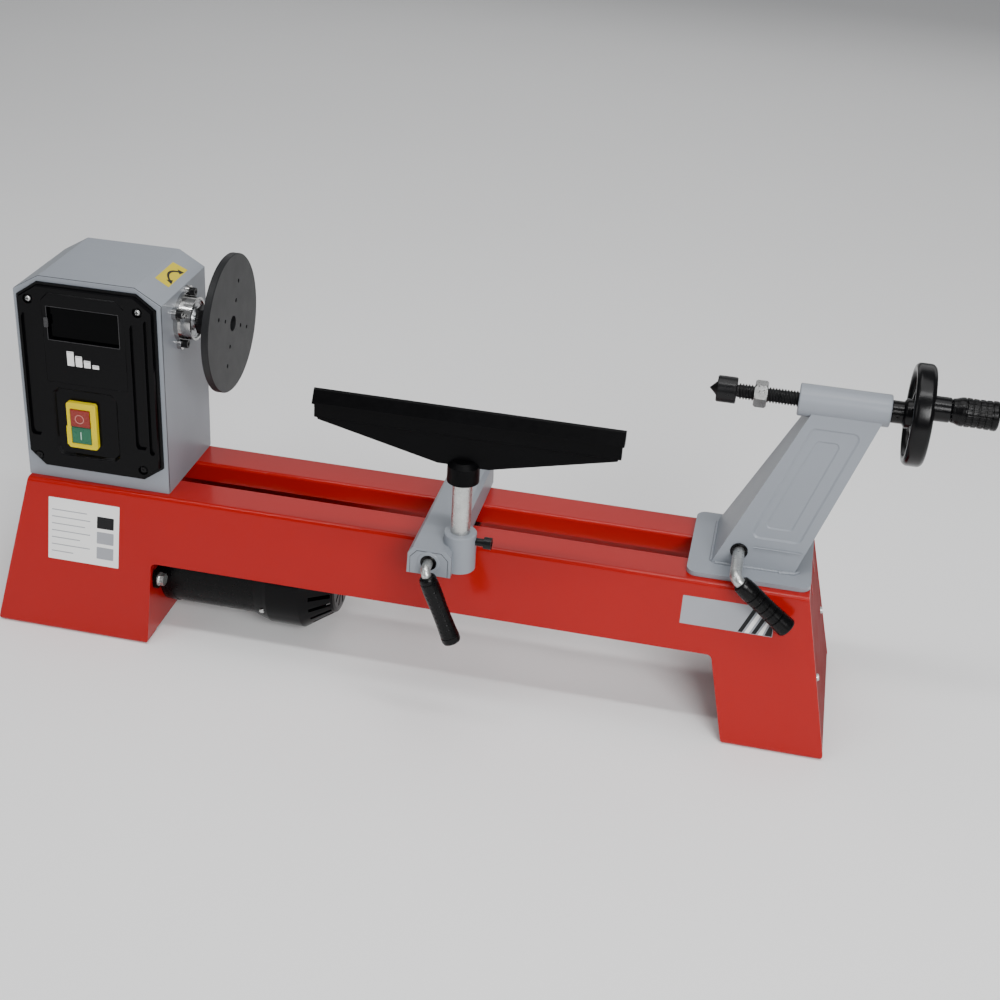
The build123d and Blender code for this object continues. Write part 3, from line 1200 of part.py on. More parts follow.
with BuildPart() as hub_screw:
    with BuildSketch(py(-8.1, 915.5, AXIS_Z)):
        Circle(2.55)
    extrude(amount=4.4)
    with BuildSketch(py(-11.0, 915.5, AXIS_Z)):
        RegularPolygon(radius=1.4, side_count=6)
    extrude(amount=3, mode=Mode.SUBTRACT)
hub_screw.part.label = "hub_screw"
export_step(hub_screw.part, "parts/hub_screw.step")

with BuildPart() as crank_pin:
    with BuildSketch(px(931, CRANK_Y, CRANK_Z)):
        Circle(3.98)
    extrude(amount=70)
crank_pin.part.label = "crank_pin"
export_step(crank_pin.part, "parts/crank_pin.step")

with BuildPart() as crank_grip:
    with BuildSketch(py(CRANK_Y, 0, CRANK_Z)):
        Polygon(
            *ccw((962.3, 4.06), (962.3, 12.0), (964, 13.4), (970, 14.4), (985, 14.0), (1000, 14.6), (1005, 14.6), (1006.5, 13.2), (1006.5, 0), (1001.3, 0), (1001.3, 4.06)),
            align=None,
        )
    revolve(axis=along_x(CRANK_Y, CRANK_Z), revolution_arc=360)
crank_grip.part.label = "crank_grip"
export_step(crank_grip.part, "parts/crank_grip.step")
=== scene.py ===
import json
import math

import bmesh
import bpy
import numpy as np
from mathutils import Matrix, Vector


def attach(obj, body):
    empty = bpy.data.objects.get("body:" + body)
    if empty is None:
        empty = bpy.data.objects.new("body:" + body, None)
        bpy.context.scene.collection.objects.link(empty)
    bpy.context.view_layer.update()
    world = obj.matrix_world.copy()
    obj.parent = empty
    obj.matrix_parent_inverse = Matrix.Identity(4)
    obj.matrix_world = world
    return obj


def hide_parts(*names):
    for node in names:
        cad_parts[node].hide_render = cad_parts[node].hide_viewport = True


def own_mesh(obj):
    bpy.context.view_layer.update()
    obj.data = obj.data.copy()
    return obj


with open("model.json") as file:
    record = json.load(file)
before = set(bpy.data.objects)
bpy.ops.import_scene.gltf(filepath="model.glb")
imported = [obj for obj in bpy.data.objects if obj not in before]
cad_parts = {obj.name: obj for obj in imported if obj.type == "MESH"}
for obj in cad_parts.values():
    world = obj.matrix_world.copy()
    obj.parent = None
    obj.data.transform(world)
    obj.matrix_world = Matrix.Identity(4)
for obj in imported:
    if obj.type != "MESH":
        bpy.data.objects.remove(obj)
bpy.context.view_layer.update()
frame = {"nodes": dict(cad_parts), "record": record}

# lathe stations in mm: x from the bed's left top end, y from the spindle's plane, z from the floor
X0, Y0 = -485.93, 33.5625
AXIS_Z = 362.3


def W(x, y, z):
    return Vector(((X0 + x) / 1000.0, (Y0 + y) / 1000.0, z / 1000.0))


# ------------------------------------------------------------------ materials
def surface(name, col, rough=0.4, metallic=0.0, coat=0.0, vary=0.07, rough_vary=0.06, scale=14.0, grain=1400.0, bump=0.08,
            stretch=(1, 1, 1), specular=0.5, coat_rough=0.12, speck=0.0, transmission=0.0):
    m = bpy.data.materials.new(name)
    m.use_nodes = True
    nt = m.node_tree
    nt.nodes.clear()
    N, L = nt.nodes.new, nt.links.new
    out, b = N("ShaderNodeOutputMaterial"), N("ShaderNodeBsdfPrincipled")
    L(b.outputs[0], out.inputs[0])
    tc, mp = N("ShaderNodeTexCoord"), N("ShaderNodeMapping")
    mp.inputs["Scale"].default_value = stretch
    L(tc.outputs["Object"], mp.inputs["Vector"])
    big, mid, fine = N("ShaderNodeTexNoise"), N("ShaderNodeTexNoise"), N("ShaderNodeTexNoise")
    for n, s, d in ((big, scale, 5.0), (mid, scale * 7, 4.0), (fine, grain, 3.0)):
        n.inputs["Scale"].default_value = s
        n.inputs["Detail"].default_value = d
        L(mp.outputs[0], n.inputs["Vector"])
    ramp = N("ShaderNodeValToRGB")
    ramp.color_ramp.elements[0].position, ramp.color_ramp.elements[1].position = 0.30, 0.72
    ramp.color_ramp.elements[0].color = (*[c * (1 - vary) for c in col], 1)
    ramp.color_ramp.elements[1].color = (*[min(1.0, c * (1 + vary)) for c in col], 1)
    L(big.outputs["Fac"], ramp.inputs["Fac"])
    colour = ramp.outputs["Color"]
    if speck:
        mix, thr = N("ShaderNodeMix"), N("ShaderNodeMapRange")
        mix.data_type = "RGBA"
        thr.inputs["From Min"].default_value, thr.inputs["From Max"].default_value = 0.62, 0.78
        thr.inputs["To Max"].default_value = speck
        L(mid.outputs["Fac"], thr.inputs["Value"])
        L(thr.outputs[0], mix.inputs["Factor"])
        L(colour, mix.inputs[6])
        mix.inputs[7].default_value = (*[min(1.0, c * 1.8 + 0.02) for c in col], 1)
        colour = mix.outputs[2]
    L(colour, b.inputs["Base Color"])
    mr = N("ShaderNodeMapRange")
    mr.inputs["From Min"].default_value, mr.inputs["From Max"].default_value = 0.3, 0.7
    mr.inputs["To Min"].default_value, mr.inputs["To Max"].default_value = max(0.03, rough - rough_vary), min(1.0, rough + rough_vary)
    L(mid.outputs["Fac"], mr.inputs["Value"])
    L(mr.outputs[0], b.inputs["Roughness"])
    bp = N("ShaderNodeBump")
    bp.inputs["Strength"].default_value = bump
    bp.inputs["Distance"].default_value = 0.0006
    L(fine.outputs["Fac"], bp.inputs["Height"])
    L(bp.outputs[0], b.inputs["Normal"])
    b.inputs["Metallic"].default_value = metallic
    b.inputs["Coat Weight"].default_value = coat
    b.inputs["Coat Roughness"].default_value = coat_rough
    b.inputs["Specular IOR Level"].default_value = specular
    b.inputs["Transmission Weight"].default_value = transmission
    return m


RED = surface("red_gloss", (0.33, 0.0028, 0.0018), rough=0.30, coat=0.22, coat_rough=0.09, vary=0.04, rough_vary=0.015, grain=650, bump=0.03, scale=5, specular=0.20)
# painted shade: a darker, duller copy of the red for the end plates, so their side faces read as shaded
RED_SHADED_END = surface("red_satin_shade", (0.20, 0.0016, 0.0012), rough=0.55, vary=0.06, rough_vary=0.03, grain=650, bump=0.05, scale=5, specular=0.05)
GREY = surface("grey_satin", (0.232, 0.252, 0.282), rough=0.42, coat=0.10, vary=0.03, rough_vary=0.02, grain=600, bump=0.05, scale=6, specular=0.35)
BLACK_MOULD = surface("black_moulding", (0.0016, 0.0016, 0.0020), rough=0.19, vary=0.15, rough_vary=0.03, grain=1500, bump=0.05, scale=18, specular=0.12)
BLACK_PAINT = surface("black_paint", (0.0022, 0.0022, 0.0025), rough=0.28, vary=0.15, rough_vary=0.04, grain=900, bump=0.08, scale=12, specular=0.12)
BLACK_STEEL = surface("black_steel", (0.0040, 0.0040, 0.0046), rough=0.30, vary=0.15, grain=1100, bump=0.10, scale=26, speck=0.06, specular=0.24)
FACEPLATE = surface("faceplate_black", (0.0088, 0.0092, 0.0102), rough=0.44, vary=0.04, rough_vary=0.02, grain=1300, bump=0.06, scale=8, specular=0.28)
STEEL = surface("turned_steel", (0.50, 0.51, 0.52), rough=0.28, metallic=1.0, vary=0.08, grain=260, bump=0.18, scale=20, stretch=(6, 1, 1))
POLISHED = surface("polished_flange", (0.46, 0.46, 0.455), rough=0.16, metallic=1.0, vary=0.10, grain=240, bump=0.10, scale=40, stretch=(5, 1, 1))
ZINC = surface("zinc_plate", (0.52, 0.53, 0.52), rough=0.36, metallic=0.9, vary=0.14, rough_vary=0.14, grain=700, bump=0.16, scale=70, speck=0.25)
ALUMINIUM = surface("cast_aluminium", (0.52, 0.53, 0.55), rough=0.36, metallic=1.0, vary=0.07, grain=420, bump=0.25, scale=40)
GLASS = surface("window_glass", (0.0008, 0.0009, 0.0011), rough=0.06, vary=0.2, rough_vary=0.02, grain=200, bump=0.01, specular=0.05)
NUT = surface("plated_nut", (0.30, 0.305, 0.30), rough=0.34, metallic=0.9, vary=0.16, rough_vary=0.14, grain=620, bump=0.2, scale=80, speck=0.3)
# painted highlight: lighter grey for the window's edge lines; also the catch's own colour
EDGE_HIGHLIGHT_AND_CATCH = surface("catch_and_edge_highlight", (0.030, 0.030, 0.032), rough=0.3, vary=0.2, grain=900, bump=0.05, scale=30, specular=0.4)
SEAM = surface("seam_shadow", (0.012, 0.013, 0.015), rough=0.7, vary=0.2, grain=900, bump=0.05, scale=30, specular=0.2)
YELLOW = surface("switch_yellow", (0.66, 0.52, 0.004), rough=0.34, vary=0.05, grain=900, bump=0.05, scale=30, specular=0.22)
BTN_RED = surface("button_red", (0.22, 0.022, 0.016), rough=0.28, coat=0.2, vary=0.06, grain=700, bump=0.04, scale=60, specular=0.25)
BTN_GREEN = surface("button_green", (0.016, 0.115, 0.058), rough=0.30, coat=0.15, vary=0.06, grain=700, bump=0.06, scale=60, specular=0.3)
RUBBER = surface("belt_rubber", (0.008, 0.008, 0.008), rough=0.75, vary=0.25, grain=1600, bump=0.3, scale=50, specular=0.25)
GRIP = surface("grip_plastic", (0.0014, 0.0014, 0.0017), rough=0.27, vary=0.2, rough_vary=0.04, grain=2200, bump=0.07, scale=40, specular=0.18)
WHEEL = surface("wheel_plastic", (0.0020, 0.0020, 0.0024), rough=0.22, vary=0.15, rough_vary=0.03, grain=900, bump=0.06, scale=16, specular=0.22)
REST = surface("rest_enamel", (0.0014, 0.0014, 0.0017), rough=0.40, vary=0.2, rough_vary=0.04, grain=650, bump=0.10, scale=20, specular=0.07)
SPRING = surface("spring_wire", (0.42, 0.43, 0.44), rough=0.3, metallic=1.0, vary=0.1, grain=900, bump=0.1)
WHITE_PRINT = surface("white_print", (0.80, 0.80, 0.79), rough=0.55, vary=0.03, grain=1500, bump=0.03, specular=0.3)
GREY_PRINT = surface("grey_print", (0.30, 0.31, 0.335), rough=0.36, vary=0.04, grain=1500, bump=0.03, specular=0.35)
# black print; also painted shade for the pad screws' cross recesses
BLACK_PRINT_AND_RECESS_SHADE = surface("black_print_and_recess_shade", (0.008, 0.008, 0.009), rough=0.45, vary=0.10, grain=1500, bump=0.03, specular=0.25)
PINK_PRINT = surface("ring_print", (0.50, 0.20, 0.17), rough=0.45, vary=0.04, grain=1500, bump=0.03, specular=0.25)
PALE_PRINT = surface("bar_print", (0.42, 0.60, 0.50), rough=0.45, vary=0.04, grain=1500, bump=0.03, specular=0.25)
STICKER = surface("yellow_sticker", (0.58, 0.46, 0.022), rough=0.45, vary=0.05, grain=1200, bump=0.04, specular=0.2)

LOOK = {
    "red_paint": RED, "grey_paint": GREY, "black_moulding": BLACK_MOULD, "black_paint": BLACK_PAINT, "black_steel": BLACK_STEEL,
    "machined_steel": STEEL, "zinc_steel": ZINC, "polished_steel": POLISHED, "cast_aluminium": ALUMINIUM, "window_panel": GLASS,
    "switch_yellow": YELLOW, "switch_red": BTN_RED, "switch_green": BTN_GREEN, "switch_black": BLACK_MOULD, "belt_rubber": RUBBER,
    "grip_plastic": GRIP, "rest_iron": REST, "spring_steel": SPRING,
}
slot_of = {s["node"]: s["material_slot"] for s in frame["record"]["subparts"]}

# ------------------------------------------------------------------ the exact parts, dressed
BEVEL = {
    "headstock_casing": 1.1, "headstock_front_plate": 0.7, "rear_door": 0.5, "banjo_channel": 0.9, "tail_base_plate": 1.2, "tail_arm": 1.4,
    "control_cover": 0.9, "faceplate": 0.5, "tool_rest": 0.9, "fan_cover": 0.5, "motor_end_bell": 1.0, "handwheel": 0.9,
    "drive_belt": 0.3, "display_window": 0.3, "bearing_flanges": 0.7, "switch_bezel": 0.6, "quill_housing": 0.4,
}
NO_BEVEL = {"stop_button_spring", "start_button_spring", "front_bed_panel", "rear_bed_panel", "spindle_pulley", "motor_pulley"}
for name, o in frame["nodes"].items():
    o.data.materials.clear()
    o.data.materials.append(LOOK[slot_of[name]])
    if name == "faceplate":
        o.data.materials[0] = FACEPLATE
    if name in ("headstock_casing", "headstock_front_plate", "rear_door"):
        o.data.materials[0] = GREY
    # the end plates take the darker copy of the red: painted shade
    if name in ("right_end_plate", "left_end_plate"):
        o.data.materials[0] = RED_SHADED_END
    if name == "hub_screw":
        o.data.materials[0] = BLACK_STEEL
    if name == "lock_nut":
        o.data.materials[0] = NUT
    if name == "rest_post":
        o.data.materials[0] = ZINC
    w = BEVEL.get(name, 0.35)
    if name not in NO_BEVEL:
        m = o.modifiers.new("edge", "BEVEL")
        m.width, m.segments, m.limit_method, m.angle_limit = w / 1000, 3 if w > 0.8 else 2, "ANGLE", math.radians(34)
        m.harden_normals = True
        m.use_clamp_overlap = True


# ------------------------------------------------------------------ mesh helpers
def make(name, verts, faces, body, material, angle=34, bevel=0.0, seg=2):
    me = bpy.data.meshes.new(name)
    me.from_pydata([tuple(v) for v in verts], [], [tuple(f) for f in faces])
    bm = bmesh.new()
    bm.from_mesh(me)
    bmesh.ops.remove_doubles(bm, verts=bm.verts, dist=1e-7)
    bmesh.ops.recalc_face_normals(bm, faces=bm.faces)
    bm.to_mesh(me)
    bm.free()
    me.materials.append(material)
    me.shade_smooth()
    me.set_sharp_from_angle(angle=math.radians(angle))
    o = bpy.data.objects.new(name, me)
    bpy.context.scene.collection.objects.link(o)
    if bevel:
        m = o.modifiers.new("edge", "BEVEL")
        m.width, m.segments, m.limit_method, m.angle_limit, m.harden_normals = bevel / 1000, seg, "ANGLE", math.radians(34), True
    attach(o, body)
    return o


def axes(direction):
    d = Vector(direction).normalized()
    a = Vector((0, 0, 1)) if abs(d.z) < 0.9 else Vector((0, 1, 0))
    u = d.cross(a).normalized()
    return d, u, d.cross(u)


def turned(name, profile, origin, direction, material, body, n=96, shape=None, angle=34, bevel=0.0):
    """A piece turned about a line. profile holds (distance along, radius) in mm; shape(s, t) can wave the radius."""
    d, u, v = axes(direction)
    o = Vector(origin)
    verts, faces = [], []
    for s, r in profile:
        for k in range(n):
            t = 2 * math.pi * k / n
            q = r + (shape(s, t) if shape and r > 0.01 else 0.0)
            verts.append(o + d * (s / 1000) + (u * math.cos(t) + v * math.sin(t)) * (q / 1000))
    for i in range(len(profile) - 1):
        for k in range(n):
            a, b = i * n + k, i * n + (k + 1) % n
            faces.append((a, b, b + n, a + n))
    for i, flip in ((0, 1), (len(profile) - 1, 0)):
        if profile[i][1] > 0.01:
            ring = [i * n + k for k in range(n)]
            faces.append(ring[::-1] if flip else ring)
    ob = make(name, verts, faces, body, material, angle=angle, bevel=bevel)
    return ob


def ring_piece(name, loop, origin, direction, material, body, n=144, angle=34):
    """A closed ring turned about a line, from a closed profile of (along, radius) in mm."""
    d, u, v = axes(direction)
    o = Vector(origin)
    m = len(loop)
    verts = [o + d * (s / 1000) + (u * math.cos(2 * math.pi * k / n) + v * math.sin(2 * math.pi * k / n)) * (r / 1000) for s, r in loop for k in range(n)]
    faces = [(i * n + k, i * n + (k + 1) % n, ((i + 1) % m) * n + (k + 1) % n, ((i + 1) % m) * n + k) for i in range(m) for k in range(n)]
    return make(name, verts, faces, body, material, angle=angle)


def sheet_piece(name, pts, origin, xdir, ydir, thick, material, body, under=0.04, bevel=0.0):
    """A thin flat piece with outline pts (mm) on a surface, its back sunk a little under it."""
    x, y = Vector(xdir).normalized(), Vector(ydir).normalized()
    n = x.cross(y)
    o = Vector(origin)
    area = sum(a[0] * b[1] - b[0] * a[1] for a, b in zip(pts, pts[1:] + pts[:1]))
    if area < 0:
        pts = pts[::-1]
    k = len(pts)
    verts = [o + x * (p[0] / 1000) + y * (p[1] / 1000) - n * (under / 1000) for p in pts]
    verts += [o + x * (p[0] / 1000) + y * (p[1] / 1000) + n * (thick / 1000) for p in pts]
    faces = [tuple(range(k))[::-1], tuple(range(k, 2 * k))] + [(i, (i + 1) % k, (i + 1) % k + k, i + k) for i in range(k)]
    return make(name, verts, faces, body, material, bevel=bevel)


def rounded(u1, v1, u2, v2, r, n=5):
    pts = []
    for cx, cy, a0 in ((u2 - r, v1 + r, -90), (u2 - r, v2 - r, 0), (u1 + r, v2 - r, 90), (u1 + r, v1 + r, 180)):
        for i in range(n + 1):
            a = math.radians(a0 + 90 * i / n)
            pts.append((cx + r * math.cos(a), cy + r * math.sin(a)))
    return pts


def tube(name, path, r, material, body, n=16, closed=False, shape=None):
    """A round bead along points (mm stations already turned into row-frame vectors)."""
    verts, faces = [], []
    m = len(path)
    for i, p in enumerate(path):
        a = path[(i + 1) % m] if closed else path[min(i + 1, m - 1)]
        b = path[(i - 1) % m] if closed else path[max(i - 1, 0)]
        d, u, v = axes(a - b)
        rr = r * (shape(i) if shape else 1.0)
        for k in range(n):
            t = 2 * math.pi * k / n
            verts.append(p + (u * math.cos(t) + v * math.sin(t)) * (rr / 1000))
    for i in range(m if closed else m - 1):
        for k in range(n):
            a, b = i * n + k, i * n + (k + 1) % n
            c, d2 = ((i + 1) % m) * n + (k + 1) % n, ((i + 1) % m) * n + k
            faces.append((a, b, c, d2))
    if not closed:
        faces.append(tuple(range(n))[::-1])
        faces.append(tuple(range((m - 1) * n, m * n)))
    return make(name, verts, faces, body, material, angle=60)


# ------------------------------------------------------------------ ribbed grips
def grooved(pts, grooves, depth=0.8, width=1.6):
    """Inserts ring grooves into a turned profile."""
    def radius(s):
        for (a, ra), (b, rb) in zip(pts, pts[1:]):
            if a <= s <= b and b > a:
                return ra + (rb - ra) * (s - a) / (b - a)
        return pts[-1][1]
    out = [p for p in pts if not any(abs(p[0] - g) < width for g in grooves)]
    for g in grooves:
        out += [(g - width / 2, radius(g - width / 2)), (g - width / 4, radius(g) - depth), (g + width / 4, radius(g) - depth), (g + width / 2, radius(g + width / 2))]
    # keep the end cap's points after everything else
    cap = [p for p in out if p[0] >= pts[-2][0]]
    body = sorted([p for p in out if p[0] < pts[-2][0]])
    return body + cap


BA = math.radians(22.0)
bdir = (math.sin(BA), 0, -math.cos(BA))


def nubs(s, t, first, pitch, count, rows=6, h=0.6):
    """Rows of small raised bumps along a grip."""
    k = round((s - first) / pitch)
    if k < 0 or k >= count:
        return 0.0
    ds = abs(s - first - k * pitch) / (pitch * 0.34)
    dt = abs(((t * rows / (2 * math.pi)) + 0.5) % 1.0 - 0.5) / 0.13
    return h * max(0.0, 1 - ds * ds) * max(0.0, 1 - dt * dt)


def dense(pts, step=0.45):
    out = []
    for (a, ra), (b, rb) in zip(pts, pts[1:]):
        k = max(1, int(abs(b - a) / step))
        out += [(a + (b - a) * i / k, ra + (rb - ra) * i / k) for i in range(k)]
    return out + [pts[-1]]


prof = [(6.8, 5.2), (6.8, 7.2), (7.8, 8.3), (10, 9.0), (16, 9.4), (24, 9.6), (34, 9.35), (44, 9.0), (58, 9.0), (68, 9.3), (76.5, 9.7), (77.7, 9.9), (82.9, 9.8), (84.9, 9.1), (85.8, 7.4), (86.0, 5.6), (85.7, 3.0), (85.7, 0.0)]
ring = grooved(prof, [13.0, 77.5], 0.6, 1.4)
g = turned("banjo_grip_ribbed", dense(ring), W(477.5, -157.5, 190.8), bdir, GRIP, "banjo_lever", n=144,
           shape=lambda s, t: nubs(s, t, 24, 5.6, 9) if 20 < s < 75 else 0.0, angle=50)
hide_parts("banjo_grip")

TA = math.radians(50.0)
tdir = (math.sin(TA), 0, -math.cos(TA))
prof = [(8, 6.2), (8, 8.0), (9, 9.2), (13, 9.9), (20, 10.3), (28, 10.2), (40, 9.9), (54, 10.1), (64, 10.5), (70.5, 10.8), (75.3, 10.9), (76.9, 10.2), (77.7, 8.4), (78.0, 6.0), (77.6, 3.0), (77.6, 0.0)]
g = turned("tail_grip_ribbed", dense(grooved(prof, [26, 34.6, 43.2, 51.8, 60.4], 1.0, 2.2)), W(783, -89, 197.5), tdir, GRIP, "tail_lever", n=128, angle=50)
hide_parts("tail_grip")

prof = [(0, 4.3), (0, 11.2), (0.9, 11.9), (3, 12.1), (6.5, 13.4), (9, 14.1), (12, 14.35), (22, 14.0), (34, 14.3), (41.5, 14.6), (43.2, 13.8), (44.0, 12.0), (44.2, 9.0), (43.8, 4.0), (43.8, 0.0)]
g = turned("crank_grip_ribbed", dense(grooved(prof, [12.5, 18.6, 24.7, 30.8, 36.9], 0.9, 1.9)), W(962.3, -30, 384.8), (1, 0, 0), GRIP, "crank", n=144,
           shape=lambda s, t: -0.30 * (0.5 + 0.5 * math.cos(28 * t)) if 13.6 < s < 36 else 0.0, angle=50)
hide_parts("crank_grip")


# ------------------------------------------------------------------ handwheel
def soft_loop(pts, r, n=4):
    """Rounds every corner of a closed profile by r mm."""
    out = []
    m = len(pts)
    for i in range(m):
        p, a, b = Vector(pts[i]), Vector(pts[i - 1]), Vector(pts[(i + 1) % m])
        da, db = (a - p), (b - p)
        k = min(r, da.length * 0.45, db.length * 0.45)
        p1, p2 = p + da.normalized() * k, p + db.normalized() * k
        for j in range(n + 1):
            t = j / n
            out.append(tuple((1 - t) ** 2 * p1 + 2 * t * (1 - t) * p + t * t * p2))
    return out


rim = [(926.5, 44.5), (926.5, 49.0), (930.0, 51.6), (943.0, 51.6), (946.4, 48.6), (946.4, 44.0), (943.6, 41.6), (931.0, 41.6)]
wheel_rim = ring_piece("wheel_rim", soft_loop(rim, 2.6), W(0, 0, AXIS_Z), (1, 0, 0), WHEEL, "quill", n=180, angle=60)
hub = [(909.75, 8.1), (909.75, 10.8), (910.5, 11.4), (921, 11.4), (923.0, 14.2), (924.2, 15.0), (943, 15.0), (944.6, 14.2), (945.0, 12.6), (945.0, 6.0), (944.4, 5.0), (944.4, 0.0)]
wheel_hub = turned("wheel_hub", hub, W(0, 0, AXIS_Z), (1, 0, 0), WHEEL, "quill", n=96)
boss = [(930.2, 0.0), (930.2, 11.6), (931.2, 12.5), (960.4, 12.3), (961.6, 11.4), (962.0, 10.6), (962.0, 4.2)]
wheel_boss = turned("wheel_boss", boss, W(0, -30, 384.8), (1, 0, 0), WHEEL, "quill", n=96)


def spoke(name, ang, width, r1, r2):
    """One dished arm with a stiffening rib on its left side."""
    c, sn = math.cos(ang), math.sin(ang)
    rows = 12
    verts, faces = [], []
    prof_ = [(-width / 2, 0.0), (-width / 2 + 0.8, -0.9), (-1.7, -1.1), (-1.2, -4.2), (1.2, -4.2), (1.7, -1.1), (width / 2 - 0.8, -0.9), (width / 2, 0.0), (width / 2, 2.2), (width / 2 - 0.8, 3.0), (-width / 2 + 0.8, 3.0), (-width / 2, 2.2)]
    for i in range(rows + 1):
        t = i / rows
        r = r1 + (r2 - r1) * t
        flare = 1.0 + 0.42 * (abs(2 * t - 1) ** 3)
        x0_ = 932.0 + 4.0 * t
        for wv, dx in prof_:
            y, z = c * r - sn * wv * flare, sn * r + c * wv * flare
            verts.append(W(x0_ + dx * (1.0 if dx > -2 else 1.0 - 0.45 * t), y, AXIS_Z + z))
    m = len(prof_)
    for i in range(rows):
        for k in range(m):
            faces.append((i * m + k, i * m + (k + 1) % m, (i + 1) * m + (k + 1) % m, (i + 1) * m + k))
    faces.append(tuple(range(m))[::-1])
    faces.append(tuple(range(rows * m, rows * m + m)))
    return make(name, verts, faces, "quill", WHEEL, angle=40)


arms = [spoke("wheel_spoke_%d" % i, math.radians(143.1 + 72 * i), 11.0, 14.2, 43.0) for i in range(5)]
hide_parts("handwheel")

# ------------------------------------------------------------------ threaded quill
def thread(name, x1, x2, r_out, r_in, pitch, material, body, y=0.0, z=AXIS_Z, n=40):
    steps = int((x2 - x1 - pitch) / pitch * n)
    shape = ((0.0, r_in), (0.16, r_in), (0.44, r_out - 0.12), (0.47, r_out), (0.63, r_out), (0.66, r_out - 0.12), (0.94, r_in), (1.0, r_in))
    verts, faces = [], []
    for i in range(steps + 1):
        t = 2 * math.pi * i / n
        for f, r in shape:
            verts.append(W(x1 + pitch * (i / n + f), y + r * math.cos(t), z + r * math.sin(t)))
    for i in range(steps):
        for k in range(len(shape) - 1):
            a = i * len(shape) + k
            faces.append((a, a + 1, a + 1 + len(shape), a + len(shape)))
    core = len(verts)
    for x in (x1, x2):
        for k in range(n):
            t = 2 * math.pi * k / n
            verts.append(W(x, y + (r_in - 0.02) * math.cos(t), z + (r_in - 0.02) * math.sin(t)))
    for k in range(n):
        faces.append((core + k, core + (k + 1) % n, core + n + (k + 1) % n, core + n + k))
    faces.append(tuple(range(core, core + n))[::-1])
    faces.append(tuple(range(core + n, core + 2 * n)))
    return make(name, verts, faces, body, material, angle=50)


q = thread("quill_thread", 757.8, 909.5, 7.98, 6.35, 3.0, BLACK_STEEL, "quill")
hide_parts("quill_screw")
q2 = turned("quill_ends", [(0, 0), (0, 5.9), (12.2, 5.9), (12.2, 6.25), (163, 6.25), (163, 7.9), (190, 7.9), (190, 0)], W(746, 0, AXIS_Z), (1, 0, 0), BLACK_STEEL, "quill", n=64)

# ------------------------------------------------------------------ prints and labels
SL = 33.0 / 175.0
up_panel = Vector((0, SL, 1)).normalized()


def panel_point(x, z):
    return W(x, -(68.2 + SL * (175 - z)), z)


K = math.hypot(1, SL)
o1 = panel_point(25.3, 85)
sheet_piece("plate_white", rounded(0, 0, 84.2, 71.5 * K, 0.8, 2), o1, (1, 0, 0), up_panel, 0.16, WHITE_PRINT, "frame")
for i in range(7):
    sheet_piece("plate_rule_%d" % i, rounded(4, 58.2 - 8.2 * i, (46, 50, 44, 50, 38, 50, 30)[i], 59.3 - 8.2 * i, 0.2, 1), o1, (1, 0, 0), up_panel, 0.20, GREY_PRINT, "frame", under=-0.1)
for i in range(3):
    sheet_piece("plate_box_%d" % i, rounded(58, 44 - 18 * i, 78, 58 - 18 * i, 0.8, 2), o1, (1, 0, 0), up_panel, 0.20, GREY_PRINT if i else BLACK_PRINT_AND_RECESS_SHADE, "frame", under=-0.1)
o2 = panel_point(733.5, 127)
h2 = 30.7 * K
sheet_piece("strip_grey", rounded(0, 0, 95.5, h2, 0.5, 2), o2, (1, 0, 0), up_panel, 0.16, GREY_PRINT, "frame")
for i, (a, m) in enumerate(((60, BLACK_PRINT_AND_RECESS_SHADE), (67, WHITE_PRINT), (74, BLACK_PRINT_AND_RECESS_SHADE), (81, WHITE_PRINT))):
    sheet_piece("strip_bar_%d" % i, [(a, 0.6), (a + 4.6, 0.6), (min(a + 18.6, 95), h2 - 0.6), (min(a + 14.0, 95), h2 - 0.6)], o2, (1, 0, 0), up_panel, 0.20, m, "frame", under=-0.1)
sheet_piece("strip_end", [(87.5, 0.6), (95.0, 0.6), (95.0, h2 - 9)], o2, (1, 0, 0), up_panel, 0.20, BLACK_PRINT_AND_RECESS_SHADE, "frame", under=-0.1)

# speed chart on the cover
cy = -66.5
for i, (a, b, t) in enumerate(((58.5, 66.2, 334.8), (68.0, 75.4, 330.6), (77.4, 84.8, 326.6), (87.0, 94.4, 322.6))):
    oc = W(a, cy, 318.2)
    sheet_piece("chart_bar_%d" % i, rounded(0, 0, b - a, t - 318.2, 0.3, 1), oc, (1, 0, 0), (0, 0, 1), 0.12, WHITE_PRINT, "frame")
    sheet_piece("chart_mark_%d" % i, rounded(0.8, t - 318.2 - 1.7, b - a - 0.8, t - 318.2 - 1.0, 0.1, 1), oc, (1, 0, 0), (0, 0, 1), 0.16, GREY_PRINT, "frame", under=-0.1)

# painted shade: dark strips for the shadow in the joint between the casing and its front plate
def seam_strip(name, a, b, along, normal, y1=-56.45, y2=-55.75):
    u_ = (b - a).normalized()
    ln = (b - a).length * 1000
    sheet_piece(name, [(0, 0), (ln, 0), (ln, y2 - y1), (0, y2 - y1)], a, u_, Vector((0, 1, 0)), 0.06, SEAM, "frame", under=0.5)


CH = 28.7
seam_strip("seam_top", W(-1.7 + CH, -56.45, 412.1), W(163.7 - CH, -56.45, 412.1), None, None)
seam_strip("seam_right_chamfer", W(163.7 - CH, -56.45, 412.1), W(163.7, -56.45, 395.2), None, None)
seam_strip("seam_right", W(163.7, -56.45, 395.2), W(163.7, -56.45, 177.0), None, None)
seam_strip("seam_left_chamfer", W(-1.7, -56.45, 395.2), W(-1.7 + CH, -56.45, 412.1), None, None)
seam_strip("seam_left", W(-1.7, -56.45, 177.0), W(-1.7, -56.45, 395.2), None, None)

